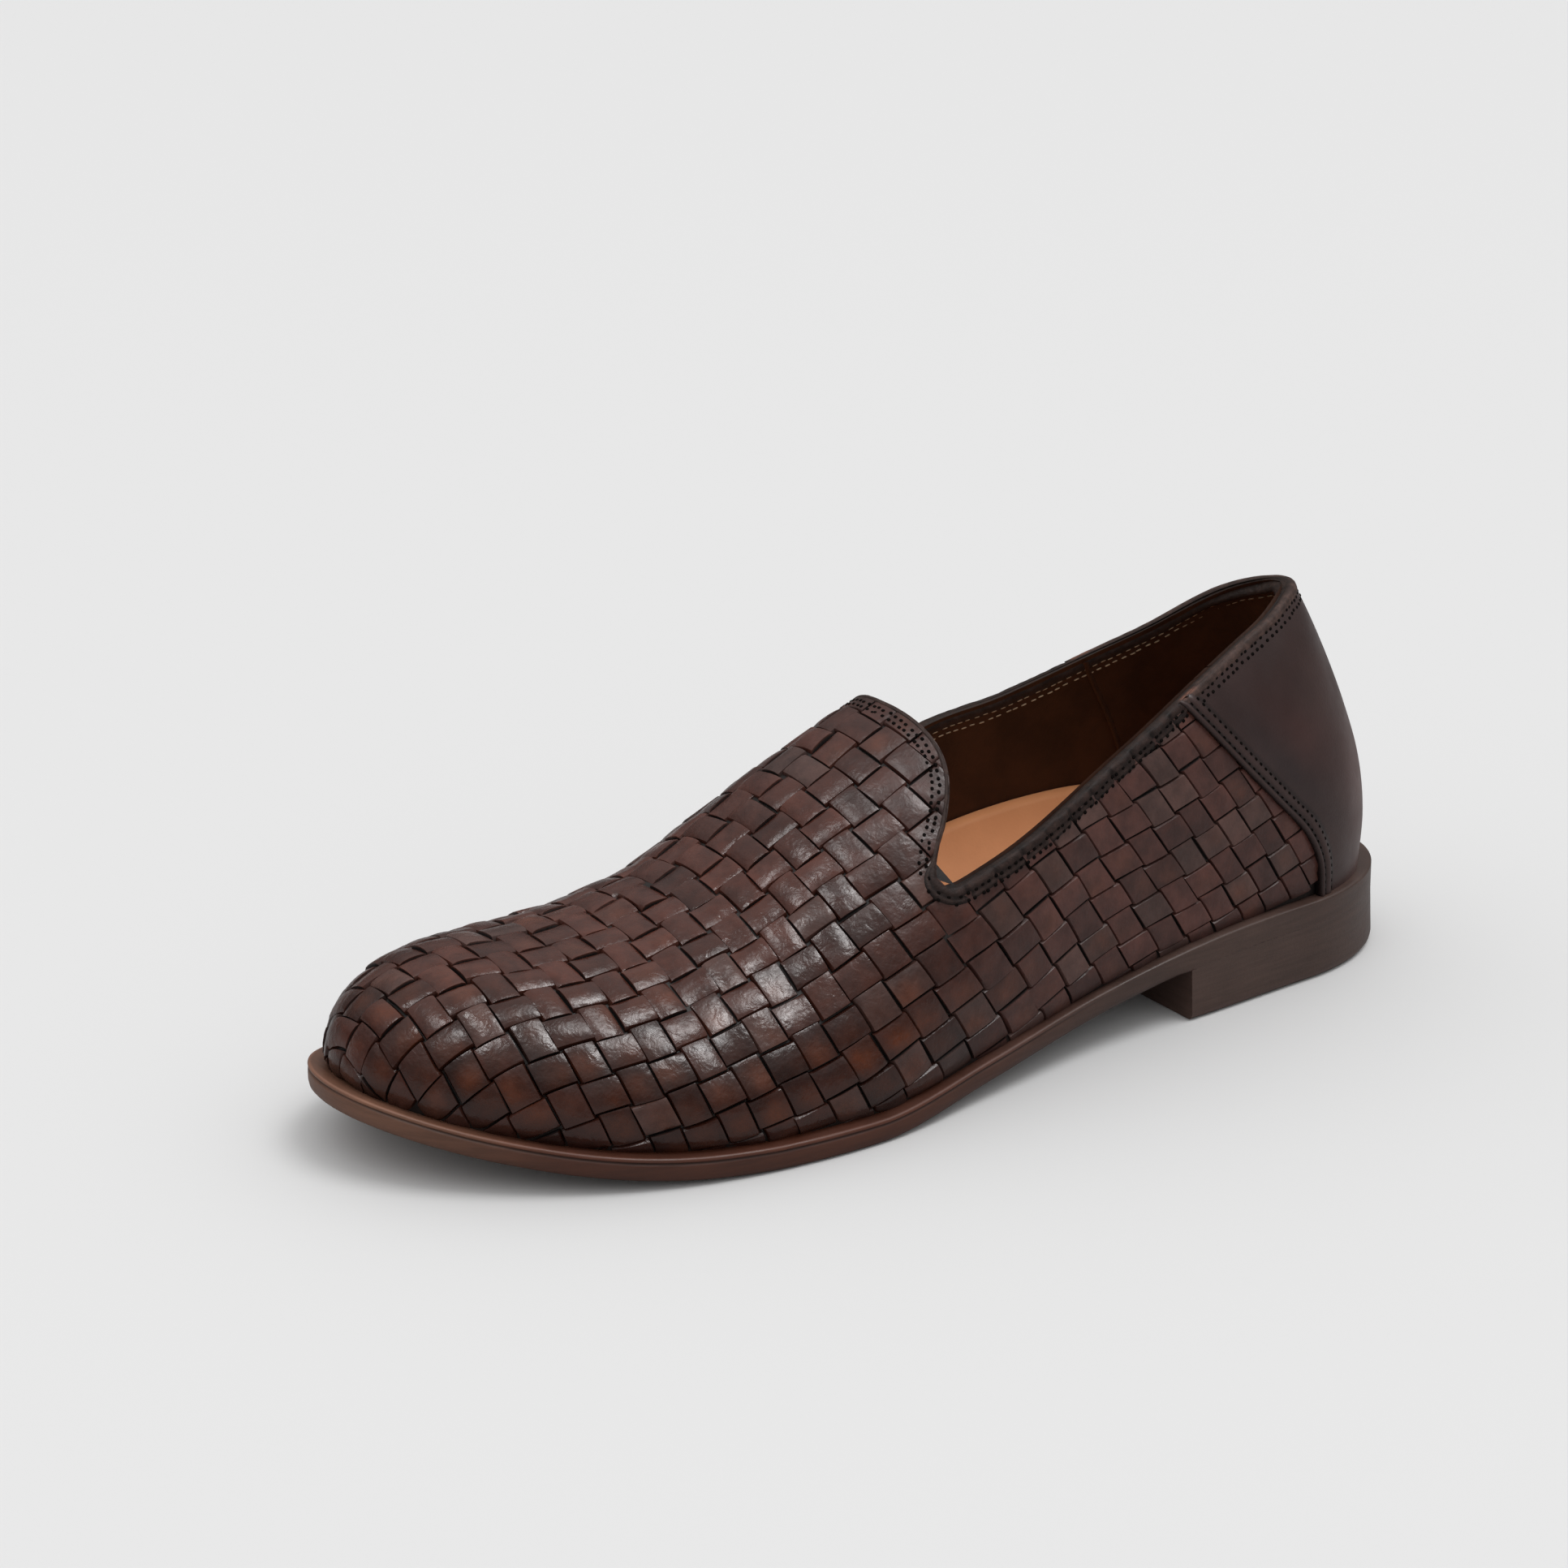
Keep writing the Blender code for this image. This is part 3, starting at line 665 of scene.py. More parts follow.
# Strips lie flatter at the collar, tuck in at the sole and end under the counter
PRESSED_SHARE = 0.35
PRESSED_LIFT = -0.25
PRESSED_BAND = (1.0, 8.0)
TUCK_DEPTH = 1.3
TUCK_HEIGHT = 3.2
BELOW_SEAT = 1.5
UNDER_COUNTER = 1.0
COUNTER_BAND = (0.2, 1.5)
# Lengthwise rows of cells on each side of the ridge
RUN_CELLS = 13
# How far past the collar, the sole's top and the counter's edge a strip's middle may lie
PAST_COLLAR = 6.5
PAST_SEAT = 5.5
PAST_SEAM = 8.0
# How much strips differ in crown, turn and width, place, lift and tilt
CROWN_SPREAD = 0.3
TURN_SPREAD = 0.016
PLACE_SPREAD = 0.12
LIFT_SPREAD = 0.05
TILT_SPREAD = 0.08
# Painted light on a strip: a painted highlight along its edge, painted shade on its sides, its diving ends
# and near the sole, darker near the collar, and their reach
EDGE_HIGHLIGHT_PAINT = 0.1
EDGE_HIGHLIGHT_BAND = (0.9, 0.98)
SIDE_SHADE = 0.9
SIDE_BAND = (0.1, 0.5)
END_SHADE = 0.75
END_BAND = (0.04, 0.14)
SOLE_SHADE = 0.35
SOLE_BAND = 6
COLLAR_SHADE = 0.32
COLLAR_BAND = (2.0, 6.0)
SHARP_ANGLE = 38
FORE_BROWN = np.array([0.048, 0.0152, 0.0102])
QUARTER_BROWN = np.array([0.076, 0.0275, 0.0212])
STRIP_GREY = np.array([0.078, 0.038, 0.031])
STRIP_PINK = np.array([0.135, 0.046, 0.027])
STRIP_RED = np.array([0.125, 0.030, 0.009])
# Stations where the forefoot's colour begins, share of the ridge's height where the painted light on the
# vamp's top begins
FORE_COLOUR = (125, 175)
VAMP_LIGHT_BAND = (0.55, 0.95)
VAMP_PAINTED_LIGHT = 0.4
# Shares of grey and pinkish strips, and how much less of them the forefoot has
GREY_SHARE = 0.22
FORE_LESS_GREY = 0.1
PINK_SHARE = 0.34
FORE_LESS_PINK = 0.7
# Size of a blot, height of the red ones above the sole, and painted shade on the forefoot's strips at that
# height
BLOT_SIZE = 0.55
RED_HEIGHT = 15.0
RED_SPREAD = 13.0
LOW_FORE_PAINTED_SHADE = 0.3
# Ranges of the strips' own lightness and of a blot's strength, lightness and place on its strip
LIGHTNESS = (0.7, 1.38)
PINK_STRENGTH = (0.25, 0.8)
RED_STRENGTH = (0.1, 1.3)
BLOT_LIGHTNESS = (0.75, 1.15)
BLOT_ALONG = (-0.4, 0.4)
BLOT_DOWN = (-0.2, 0.5)

# Soft troughs of wear, ridges where the depth is negative: middle, lean from upright, half length and width
CREASES = table(
    "station height lean length width depth",
    [
        (159, 43, 35, 10, 3.2, 0.8),
        (150, 45, -55, 8, 2.6, 0.5),
        (190, 52, 25, 14, 5.0, -0.4),
        (206, 43, 20, 16, 4.5, 0.7),
        (224, 37, 14, 14, 4.5, 0.6),
        (112, 44, -25, 14, 6.0, 0.5),
    ],
)


def crease_depth(points):
    """Depth of the troughs at points of the skin."""
    depth = np.zeros(points.shape[:-1])
    for station, height, lean, length, width, deep in zip(*CREASES.values()):
        ahead, up = points[..., 0] - station, points[..., 2] - height
        sine, cosine = np.sin(np.radians(lean)), np.cos(np.radians(lean))
        off, run = ahead * cosine - up * sine, ahead * sine + up * cosine
        depth += deep * np.exp(-((off / width) ** 2) - (run / length) ** 2)
    return depth


def strip_tones(centre, along_cell, down_cell):
    """Colour over each strip: brown, pinkish blots on some quarters, red-brown ones low on the forefoot,
    painted light near the vamp's top and painted shade low on the forefoot.
    """
    count = len(centre)

    def each(low, high):
        return rng.uniform(low, high, (count, 1, 1))

    height = centre[:, 2] - seat(centre[:, 0])
    low = np.exp(-(((height - RED_HEIGHT) / RED_SPREAD) ** 2))[:, None, None]
    fore = smooth(*FORE_COLOUR, centre[:, 0])[:, None, None]
    crest = ridge(centre[:, 0], 0.0) - seat(centre[:, 0])
    # Painted light: strips towards the vamp's top are made lighter
    top = VAMP_PAINTED_LIGHT * smooth(*VAMP_LIGHT_BAND, height / crest)[:, None, None, None]
    brown = QUARTER_BROWN * (1 - fore[..., None]) + FORE_BROWN * fore[..., None] * (1 + top)
    grey = rng.random((count, 1, 1)) < GREY_SHARE - FORE_LESS_GREY * fore
    plain = np.where(grey[..., None], STRIP_GREY, brown) * each(*LIGHTNESS)[..., None]
    # Painted shade on the forefoot's low strips near the floor
    plain = plain * (1 - LOW_FORE_PAINTED_SHADE * low * fore)[..., None]
    pink = rng.random((count, 1, 1)) < PINK_SHARE * (1 - FORE_LESS_PINK * fore)
    pink = pink * each(*PINK_STRENGTH)
    red = low * fore * np.minimum(each(*RED_STRENGTH), 1)
    gap = (along_cell - each(*BLOT_ALONG)) ** 2 + (down_cell - each(*BLOT_DOWN)) ** 2
    spot = np.exp(-gap / BLOT_SIZE)
    for strength, colour in ((pink, STRIP_PINK), (red, STRIP_RED)):
        blot = (strength * spot)[..., None]
        plain = plain * (1 - blot) + colour * each(*BLOT_LIGHTNESS)[..., None] * blot
    return plain


def make_weave():
    """Every crossing of the weave as a bent strip whose ends dive under its neighbours."""
    cross_count = int(ROWS[-1] / CROSS_PITCH)
    cells = np.array([(i, c) for i in range(-1, cross_count) for c in range(-RUN_CELLS, RUN_CELLS)])
    middle_a = FIRST_CROSS + (cells[:, 0] + 0.5) * CROSS_PITCH
    middle_b = (cells[:, 1] + 0.5) * RUN_PITCH
    centre = sheet_at(SHEET, np.maximum(middle_a, 0.1), middle_b)
    inside = collar_distance(centre)[0]
    height = centre[:, 2] - seat(centre[:, 0])
    behind = seam_path(centre[:, 2]) - centre[:, 0]
    keep = (inside > -PAST_COLLAR) & (height > -PAST_SEAT) & (behind < PAST_SEAM)
    cells, middle_a, middle_b = cells[keep], middle_a[keep], middle_b[keep]
    centre, height = centre[keep], height[keep]
    count = len(cells)

    def each(spread):
        return rng.normal(0, spread, (count, 1, 1))

    lengthwise = ((cells.sum(axis=1) % 2) == 0)[:, None, None]
    across = STRIP_ACROSS[None, None, :]
    drop = STRIP_DROP[None, None, :]
    fore = smooth(*FORE_FORM, centre[:, 0])[:, None, None]
    crest = height / (ridge(centre[:, 0], 0.0) - seat(centre[:, 0]))
    vamp = fore * smooth(*VAMP_FORM, crest)[:, None, None]

    def form(parts):
        return parts[0] + parts[1] * fore + parts[2] * vamp

    crown = form(CROWN) * (1 + each(CROWN_SPREAD))
    turn = each(TURN_SPREAD)
    side = across * (form(STRIP_WIDTH) + each(TURN_SPREAD))
    run = STRIP_RUN[None, :, None] + turn * side
    side = side - turn * STRIP_RUN[None, :, None]
    along_cell = np.where(lengthwise, run, side)
    across_cell = np.where(lengthwise, side, run)
    a = middle_a[:, None, None] + along_cell * CROSS_PITCH / 2 + each(PLACE_SPREAD)
    b = middle_b[:, None, None] + across_cell * RUN_PITCH / 2 + each(PLACE_SPREAD)
    past_dive = np.abs(run) - form(DIVE_START)
    lift = STRIP_TOP + each(LIFT_SPREAD) + crown * (1 - run**2 - SIDE_CROWN * across**2)
    lift = lift - form(END_SLOPE) * smooth(*SLOPE_BAND, np.abs(run))
    lift = lift - drop - END_DIVE * smooth(0, DIVE_LENGTH, past_dive)
    lift = lift + (1 + fore) * (each(TILT_SPREAD) * across + each(TILT_SPREAD) * run)

    point = sheet_at(SHEET, np.maximum(a, 0.06), b)
    normal = sheet_at(SHEET_NORMAL, np.maximum(a, 0.06), b)
    distance = trim_to_collar(point, 0.0)
    pressed = PRESSED_SHARE + (1 - PRESSED_SHARE) * smooth(*PRESSED_BAND, distance)
    lift = PRESSED_LIFT * (1 - pressed) + lift * pressed
    above = point[..., 2] - seat(point[..., 0])
    lift = lift - TUCK_DEPTH * np.clip(1 - above / TUCK_HEIGHT, 0, 1) ** 2 - crease_depth(point)
    hidden = smooth(*COUNTER_BAND, seam_path(point[..., 2]) - point[..., 0])
    lift = np.maximum(lift * (1 - hidden) - UNDER_COUNTER * hidden, DEEPEST)
    point = point + normal * lift[..., None]
    point[..., 2] = np.maximum(point[..., 2], seat(point[..., 0]) - BELOW_SEAT)

    down_cell = across_cell * np.sign(middle_b)[:, None, None]
    tones = strip_tones(centre, along_cell, down_cell)
    # Painted highlight along the strips' edges, painted shade on their sides, at their diving ends and near
    # the sole
    lighter_edge = EDGE_HIGHLIGHT_PAINT * smooth(*EDGE_HIGHLIGHT_BAND, np.abs(across)) * (drop < SIDE_BAND[1])
    wall = smooth(*SIDE_BAND, drop)
    shade = 1 + lighter_edge - SIDE_SHADE * wall - END_SHADE * smooth(*END_BAND, past_dive)
    shade = np.clip(shade, 0.1, 1.5) * (1 - SOLE_SHADE * np.clip(1 - above / SOLE_BAND, 0, 1))
    shade = shade * (1 - COLLAR_SHADE + COLLAR_SHADE * smooth(*COLLAR_BAND, distance))
    gloss = fore * np.ones_like(lift) - 2 * wall
    tones = np.concatenate([tones * shade[..., None], gloss[..., None]], axis=-1)
    rows, columns = point.shape[1:3]
    faces = in_leather(repeated(grid_faces(rows, columns), count, rows * columns), distance)
    weave = add_mesh("woven_strips", point, faces, WOVEN, tones)
    weave.data.set_sharp_from_angle(angle=np.radians(SHARP_ANGLE))
    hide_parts("upper")


def make_shell(name, grow, material, inward):
    """One skin of the upper, trimmed at the collar."""
    grid = shell(grow, rows=110, rear_rows=40, columns=44, below=1.0)
    distance = trim_to_collar(grid, grow)
    faces = in_leather(grid_faces(*grid.shape[:2]), distance)
    if inward:
        faces = faces[:, ::-1]
    add_mesh(name, grid, faces, material)


# Seam across the lining: its line, and its section as how far ahead and how far out of the lining
LINING_SEAM = table("height station", [(34, 48.5), (42, 53.0), (56, 59.5), (74, 70.5), (90, 79.5)])
SEAM_SECTION = ((-1.6, 0.1), (-1.5, -0.35), (-0.4, -0.45), (0.0, -0.4), (0.15, 0.1))
SEAM_LOW = 34
SEAM_HIGH = 88


def make_lining_seam():
    """Overlapped joint of the lining's front and heel pieces, a raised edge."""
    for side, word in ((-1, "inner"), (1, "outer")):
        height = np.linspace(SEAM_LOW, SEAM_HIGH, 80)
        station = along(LINING_SEAM, "station", height)
        lines = []
        for ahead, grow in SEAM_SECTION:
            x = skin(station + ahead, height, side, LINING + grow)
            lines.append(np.stack([station + ahead, x, height], axis=-1))
        points = np.array(lines)
        keep = collar_distance(points)[0].min(axis=0) > 1.0
        points = points[:, keep]
        faces = grid_faces(*points.shape[:2])
        add_mesh(f"lining_seam_{word}", points, faces, LINING_LEATHER)


make_weave()
make_lining_seam()
make_shell("strip_backing", BACKING, BACKING_LEATHER, False)
make_shell("lining", LINING, LINING_LEATHER, True)


# Collar rim and stitches


def skin_tree():
    """Search tree over the untrimmed skin."""
    grid = shell(0.0, rows=130, rear_rows=44, columns=60, below=8.0)
    points = place(grid).reshape(-1, 3)
    return BVHTree.FromPolygons(points.tolist(), grid_faces(*grid.shape[:2]).tolist(), epsilon=0.0)


TREE = skin_tree()


# Point inside the shoe in metres and weight of the length, which tell outwards from inwards
CORE_Y = -0.02
CORE_Z = 0.03
LENGTH_WEIGHT = 0.4


def on_skin(points):
    """Nearest points of the skin and their outward normals, in metres."""
    spots, normals = [], []
    for point in points:
        spot, normal, _, _ = TREE.find_nearest(Vector(point))
        outward = Vector((spot.x, (spot.y - CORE_Y) * LENGTH_WEIGHT, spot.z - CORE_Z))
        spots.append(spot)
        normals.append(normal if normal.dot(outward) > 0 else -normal)
    return np.array(spots), np.array(normals)


def even(points, step, closed=False):
    """The same line with evenly spaced points."""
    points = np.asarray(points, float)
    if closed:
        points = np.concatenate([points, points[:1]])
    reach = reach_along(points)
    count = max(int(round(reach[-1] / step)), 2)
    at = np.linspace(0, reach[-1], count + (0 if closed else 1), endpoint=not closed)
    return at_reach(reach, points, at)


# Stations of the topline's back end and of the start of its bend round the heel
TOPLINE_BACK = 24.0
REAR_START = 60.0


def edge_side(side):
    """Collar's edge on one side, from the top of the tongue to the back of the heel, in millimetres."""
    steps = np.linspace(TONGUE_TOP, 0, 260)
    last = float(back_station(along(TOPLINE, "height", TOPLINE_BACK), 0.0)) + 0.02
    rear = last + (REAR_START - last) * np.linspace(1, 0, 120)[1:] ** 2
    topline = np.concatenate([np.linspace(NOTCH, REAR_START, 120)[1:], rear])
    station = np.concatenate([along(TONGUE, "station", steps), topline])
    level = np.concatenate([along(TONGUE, "height", steps), along(TOPLINE, "height", topline)])
    x = np.zeros(len(station))
    for _ in range(4):
        height = level + tilt(station) * x
        x = skin(station, height, side, 0.0)
    on = height < ridge(station, 0.0) - 0.02
    first = np.argmax(on)
    return np.stack([station, x, height], axis=-1)[first:]


def around(values):
    """Values along the closed loop, lightly evened out."""
    return (np.roll(values, 1, axis=0) + 2 * values + np.roll(values, -1, axis=0)) / 4


LOOP_STEP = 0.6
ABOVE_OPENING = (95, 2, 115)


def collar_loop():
    """Closed line of the collar's edge with its along, outward and upward directions, in metres."""
    outer, inner = edge_side(1), edge_side(-1)
    loop = even(place(np.concatenate([outer, inner[::-1]])), LOOP_STEP * MM, True)
    for _ in range(8):
        loop = around(loop)
    spots, normals = on_skin(loop)
    ahead = unit(np.roll(spots, -1, axis=0) - np.roll(spots, 1, axis=0))
    up = unit(np.cross(ahead, normals))
    target = place([ABOVE_OPENING])[0]
    up *= np.sign(((target - spots) * up).sum(axis=1).mean())
    return spots, ahead, normals, up


LOOP, LOOP_AHEAD, LOOP_OUT, LOOP_UP = collar_loop()


def unplace(points):
    """The part's frame in metres back to station, x and z in millimetres."""
    x, y, z = np.moveaxis(np.asarray(points, float) / MM, -1, 0)
    return np.stack([(LENGTH - HEEL_FLARE) / 2 - y, x + MIDDLE, z], axis=-1)


def wander(count, length, size):
    """Smooth random waver along a closed line."""
    wave = rng.normal(0, 1, count)
    spread = np.exp(-0.5 * (np.minimum(np.arange(count), count - np.arange(count)) / length) ** 2)
    wave = np.fft.ifft(np.fft.fft(wave) * np.fft.fft(spread)).real
    return wave / wave.std() * size


# Heights and stations where the tongue's edge begins, distance behind the seam where the counter's does
TONGUE_HEIGHTS = (55, 60)
TONGUE_STATIONS = (142, 146)
COUNTER_EDGE = (-1.0, 2.0)


def loop_shares():
    """How much each point of the loop belongs to the tongue, the quarters and the counter."""
    station, _, height = unplace(LOOP).T
    tongue = smooth(*TONGUE_HEIGHTS, height) * smooth(*TONGUE_STATIONS, station)
    counter = smooth(*COUNTER_EDGE, seam_path(height) - station) * (1 - tongue)
    return tongue, 1 - tongue - counter, counter


TONGUE_SHARE, QUARTER_SHARE, COUNTER_SHARE = loop_shares()
# How far the stitch holes stand out from the last on each panel
HOLE_LEVEL = -0.02 * TONGUE_SHARE + 0.08 * QUARTER_SHARE + 0.47 * COUNTER_SHARE
# Rows of the skin below the edge, and the distance between them
BAND_STEP = 0.6
BAND_ROWS = 11


def collar_band():
    """Rows of the skin below the collar's edge at even steps down, with their normals."""
    spots, normals = LOOP, LOOP_OUT
    rows, outs = [spots], [normals]
    for _ in range(BAND_ROWS):
        up = np.cross(LOOP_AHEAD, normals)
        up *= np.sign((up * LOOP_UP).sum(axis=1, keepdims=True))
        spots, normals = on_skin(spots - up * BAND_STEP * MM)
        spots, normals = around(spots), unit(around(around(normals)))
        rows.append(spots)
        outs.append(normals)
    return np.array(rows), np.array(outs)


BAND, BAND_OUT = collar_band()


def down_band(depth, picks):
    """Places and normals at a depth below the collar's edge for picked points of the loop."""
    u = np.clip(depth / BAND_STEP, 0, BAND_ROWS - 0.001)
    low = u.astype(int)
    part = (u - low)[:, None]
    spots = BAND[low, picks] * (1 - part) + BAND[low + 1, picks] * part
    normals = BAND_OUT[low, picks] * (1 - part) + BAND_OUT[low + 1, picks] * part
    return spots - LOOP_UP[picks] * np.minimum(depth, 0)[:, None] * MM, normals


CROSSING_SPREAD = 0.55


def loop_crossings():
    """1 where a crosswise line of the weave meets the collar's edge, 0 away from it."""
    station, _, height = unplace(LOOP).T
    stations, reach = ridge_reach(0.0, LAST_CROSS)
    lean = np.tan(np.radians(along(CROSS_LEAN, "degrees", station)))
    at = station + (ridge(station, 0.0) - height) * lean
    for _ in range(20):
        at = (at + station + (ridge(at, 0.0) - height) * lean) / 2
    row = (np.interp(-at, -stations, reach) - FIRST_CROSS) / CROSS_PITCH
    return np.exp(-(((row - np.round(row)) * CROSS_PITCH / CROSSING_SPREAD) ** 2))


# Outer part of the rim, from below up to the edge: how far out and how far down on each panel, and its
# painted shade and light on the quarters, dark under the fold and in the valley, lighter on the ridges
RIM_OUTER = table(
    "quarter quarter_down tongue tongue_down counter counter_down shade",
    [
        (-0.90, 4.9, -0.90, 1.50, -0.30, 2.9, 0.4),
        (-0.15, 4.5, -0.20, 1.10, 0.35, 2.6, 0.45),
        (0.00, 4.2, 0.05, 0.95, 0.50, 2.4, 0.5),
        (0.26, 3.4, 0.10, 0.85, 0.64, 2.1, 1.1),
        (0.00, 2.5, 0.12, 0.75, 0.76, 1.7, 0.6),
        (0.32, 1.9, 0.13, 0.65, 0.82, 1.3, 1.0),
        (0.46, 1.1, 0.14, 0.50, 0.80, 0.8, 1.15),
        (0.32, 0.4, 0.05, 0.30, 0.64, 0.35, 1.1),
        (-0.05, 0.0, -0.20, 0.0, 0.20, 0.0, 0.9),
    ],
)
# Inner fold over the edge and down the lining: how far out and down, and its share of the back's padding
RIM_INNER = table(
    "out down pad",
    [
        (-0.8, -0.3, 0), (-1.7, -0.35, 0.3), (-2.5, -0.1, 0.9),
        (-2.95, 0.6, 1), (-3.05, 1.6, 0.8), (-2.8, 3.0, 0),
    ],
)
BACK_PAD = 2.4
PAD_STATIONS = (22, 48)
# Distances behind the seam where the counter's raw edge shows and ends
RAW_START = (0.5, 2.0)
RAW_END = (6.0, 9.0)
# The quarter's fold sinks where a crosswise line of the weave meets it, with painted shade in the dent
DENT_DEPTH = 0.4
DENT_SHADE = 0.6
DENT_FROM = 0.8
# Waver of the fold all round, more of it on the quarters, of its shade and inside: reach in points, size
CRUMPLE = (1.6, 0.03)
QUARTER_CRUMPLE = (1.6, 0.09)
SHADE_WAVER = (1.5, 0.16)
INNER_CRUMPLE = (2.2, 0.03)


def make_rim():
    """Folded edge along the topline and the tongue, with a thicker fold at the back of the heel."""
    count = len(LOOP)
    picks = np.arange(count)
    panels = {"tongue": TONGUE_SHARE, "quarter": QUARTER_SHARE, "counter": COUNTER_SHARE}
    tones = {"tongue": TONGUE_TONE, "quarter": QUARTER_TONE, "counter": COUNTER_EDGE_TONE}
    station, _, height = unplace(LOOP).T
    pad = BACK_PAD * (1 - smooth(*PAD_STATIONS, station))
    dent = loop_crossings() * QUARTER_SHARE
    base = sum(share[:, None] * np.array(tones[name]) for name, share in panels.items())
    behind = seam_path(height) - station
    raw = (smooth(*RAW_START, behind) * (1 - smooth(*RAW_END, behind)))[:, None]
    lines, colours = [], []
    for row, shade in enumerate(RIM_OUTER["shade"]):
        out = sum(share * RIM_OUTER[name][row] for name, share in panels.items())
        down = sum(share * RIM_OUTER[f"{name}_down"][row] for name, share in panels.items())
        spots, normals = down_band(down, picks)
        crumple = wander(count, *CRUMPLE) + wander(count, *QUARTER_CRUMPLE) * QUARTER_SHARE
        out = out + crumple - DENT_DEPTH * dent * (down > DENT_FROM)
        lines.append(spots + normals * out[:, None] * MM)
        # Painted shade and light by row on the quarters, and painted shade in the dents
        shades = (1 + QUARTER_SHARE * (shade - 1)) * (1 - DENT_SHADE * dent)
        shades = shades * (1 + wander(count, *SHADE_WAVER))
        top = raw * (row >= len(RIM_OUTER["shade"]) - 2)
        colours.append((base * (1 - top) + np.array(RAW_TONE) * top) * np.maximum(shades, 0.2)[:, None])
    for out, down, share in zip(*RIM_INNER.values()):
        spots, normals = down_band(np.full(count, down), picks)
        out = out - pad * share + wander(count, *INNER_CRUMPLE)
        lines.append(spots + normals * out[:, None] * MM)
        colours.append(np.tile(FOLD_TONE, (count, 1)))
    faces = grid_faces(len(lines), count, closed=True)[:, ::-1]
    add_mesh("collar_rim", unplace(lines), faces, RIM, np.array(colours))


# A stitch: rings along its half length and their share of its thickness
THREAD = table("place size", [(-1, 0.15), (-0.85, 0.7), (-0.5, 1), (0.5, 1), (0.85, 0.7), (1, 0.15)])
THREAD_SIDES = 6


def capsules(name, spots, ahead, normals, length, radius, material, slot, flat=1.0):
    """Stitches: short rounded threads, joined in one mesh."""
    angle = np.linspace(0, 2 * np.pi, THREAD_SIDES, endpoint=False)[None, :, None]
    beside = np.cross(normals, ahead)
    centre = spots[:, None] + ahead[:, None] * (THREAD["place"] * length / 2 * MM)[None, :, None]
    ring = np.cos(angle) * beside[:, None] + np.sin(angle) * normals[:, None] * flat
    points = centre[:, :, None] + ring[:, None] * (THREAD["size"] * radius * MM)[None, :, None, None]
    rings = len(THREAD["place"])
    faces = repeated(grid_faces(rings, THREAD_SIDES, closed=True), len(spots), rings * THREAD_SIDES)
    add_mesh(name, unplace(points), faces, material)


# Rows of stitches: distance below the edge and start along it, then pitch, length and radius
HOLE_ROWS = ((2.5, 0.0), (4.2, 1.1))
HOLE_PITCH, HOLE_LENGTH, HOLE_RADIUS = 2.15, 1.0, 0.42
LINING_ROWS = ((2.9, 0.0), (4.9, 1.2))
LINING_PITCH, LINING_LENGTH, LINING_RADIUS = 2.5, 1.6, 0.22
HOLE_FLAT = 0.5
# How much the stitches stray down from their row and along it
STRAY_DOWN = 0.11
STRAY_ALONG = 0.16


def stitch_row(down, pitch, start):
    """Points of the loop at an even pitch, and the places below them at a distance down the skin."""
    total = np.linalg.norm(np.diff(LOOP, axis=0), axis=1).sum()
    picks = (np.arange(0, total, pitch * MM) + start * MM) / total * len(LOOP)
    picks = picks.astype(int) % len(LOOP)
    spots, normals = down_band(down + rng.normal(0, STRAY_DOWN, len(picks)), picks)
    spots = spots + LOOP_AHEAD[picks] * rng.normal(0, STRAY_ALONG, (len(spots), 1)) * MM
    return picks, spots, LOOP_AHEAD[picks], normals


def make_stitches():
    """Two rows of dark stitch holes outside the collar and two light rows on the lining inside it."""
    hole = (HOLE_LENGTH, HOLE_RADIUS, DARK_THREAD, "woven_leather", HOLE_FLAT)
    for number, (down, start) in enumerate(HOLE_ROWS):
        picks, spots, ahead, normals = stitch_row(down, HOLE_PITCH, start)
        spots = spots + normals * HOLE_LEVEL[picks][:, None] * MM
        capsules(f"collar_stitches_{number + 1}", spots, ahead, normals, *hole)
    thread = (LINING_LENGTH, LINING_RADIUS, LIGHT_THREAD, "insole_leather")
    for number, (down, start) in enumerate(LINING_ROWS):
        _, spots, ahead, normals = stitch_row(down, LINING_PITCH, start)
        spots = spots + normals * (LINING - 0.05) * MM
        capsules(f"lining_stitches_{number + 1}", spots, ahead, normals, *thread)


make_rim()
make_stitches()


# Counter

# Folded strip along the front edge: distance back from the seam, height above the last, and painted shade,
# dark at the fold and in the valleys between the beads
COUNTER_FRONT = table(
    "back height shade",
    [
        (0.0, -0.9, 0.15), (0.05, 0.2, 0.2), (0.3, 0.95, 0.5), (0.8, 1.3, 0.95),
        (1.3, 1.25, 0.9), (1.7, 0.75, 0.25), (2.0, 0.7, 0.3), (2.4, 1.0, 0.9),
        (3.2, 1.15, 1.05), (4.0, 1.0, 0.8), (4.5, 0.7, 0.4), (5.0, 0.48, 0.5),
        (5.8, 0.45, 0.95), (7.5, 0.45, 1.0),
    ],
)


def counter_path(back):
    """Line a distance behind the counter's front edge."""

    def path(height):
        slope = seam_path(height + 0.5) - seam_path(height - 0.5)
        return seam_path(height) - back * np.sqrt(1 + slope**2)

    return path


# What a dark stain, a red flush and the painted reflection low at the back do to the colour
STAIN = np.array([0.24, 0.14, 0.06])
FLUSH = np.array([0.16, 0.0, 0.0])
BACK_PAINTED_REFLECTION = np.array([1.5, 1.9, 2.0])
# Places of the stain and the flush: distance behind the seam and its spread, height and its spread
STAIN_PLACE = (12, 6, 58, 18)
FLUSH_PLACE = (25, 9, 66, 16)
# Where the painted reflection at the back lies
REFLECTION_STATION, REFLECTION_SPREAD = 13, 9
REFLECTION_HEIGHTS = (45, 75)


def patch(behind, height, middle, width, level, reach):
    """1 at a place on the counter, fading away from it."""
    return np.exp(-(((behind - middle) / width) ** 2) - ((height - level) / reach) ** 2)[..., None]


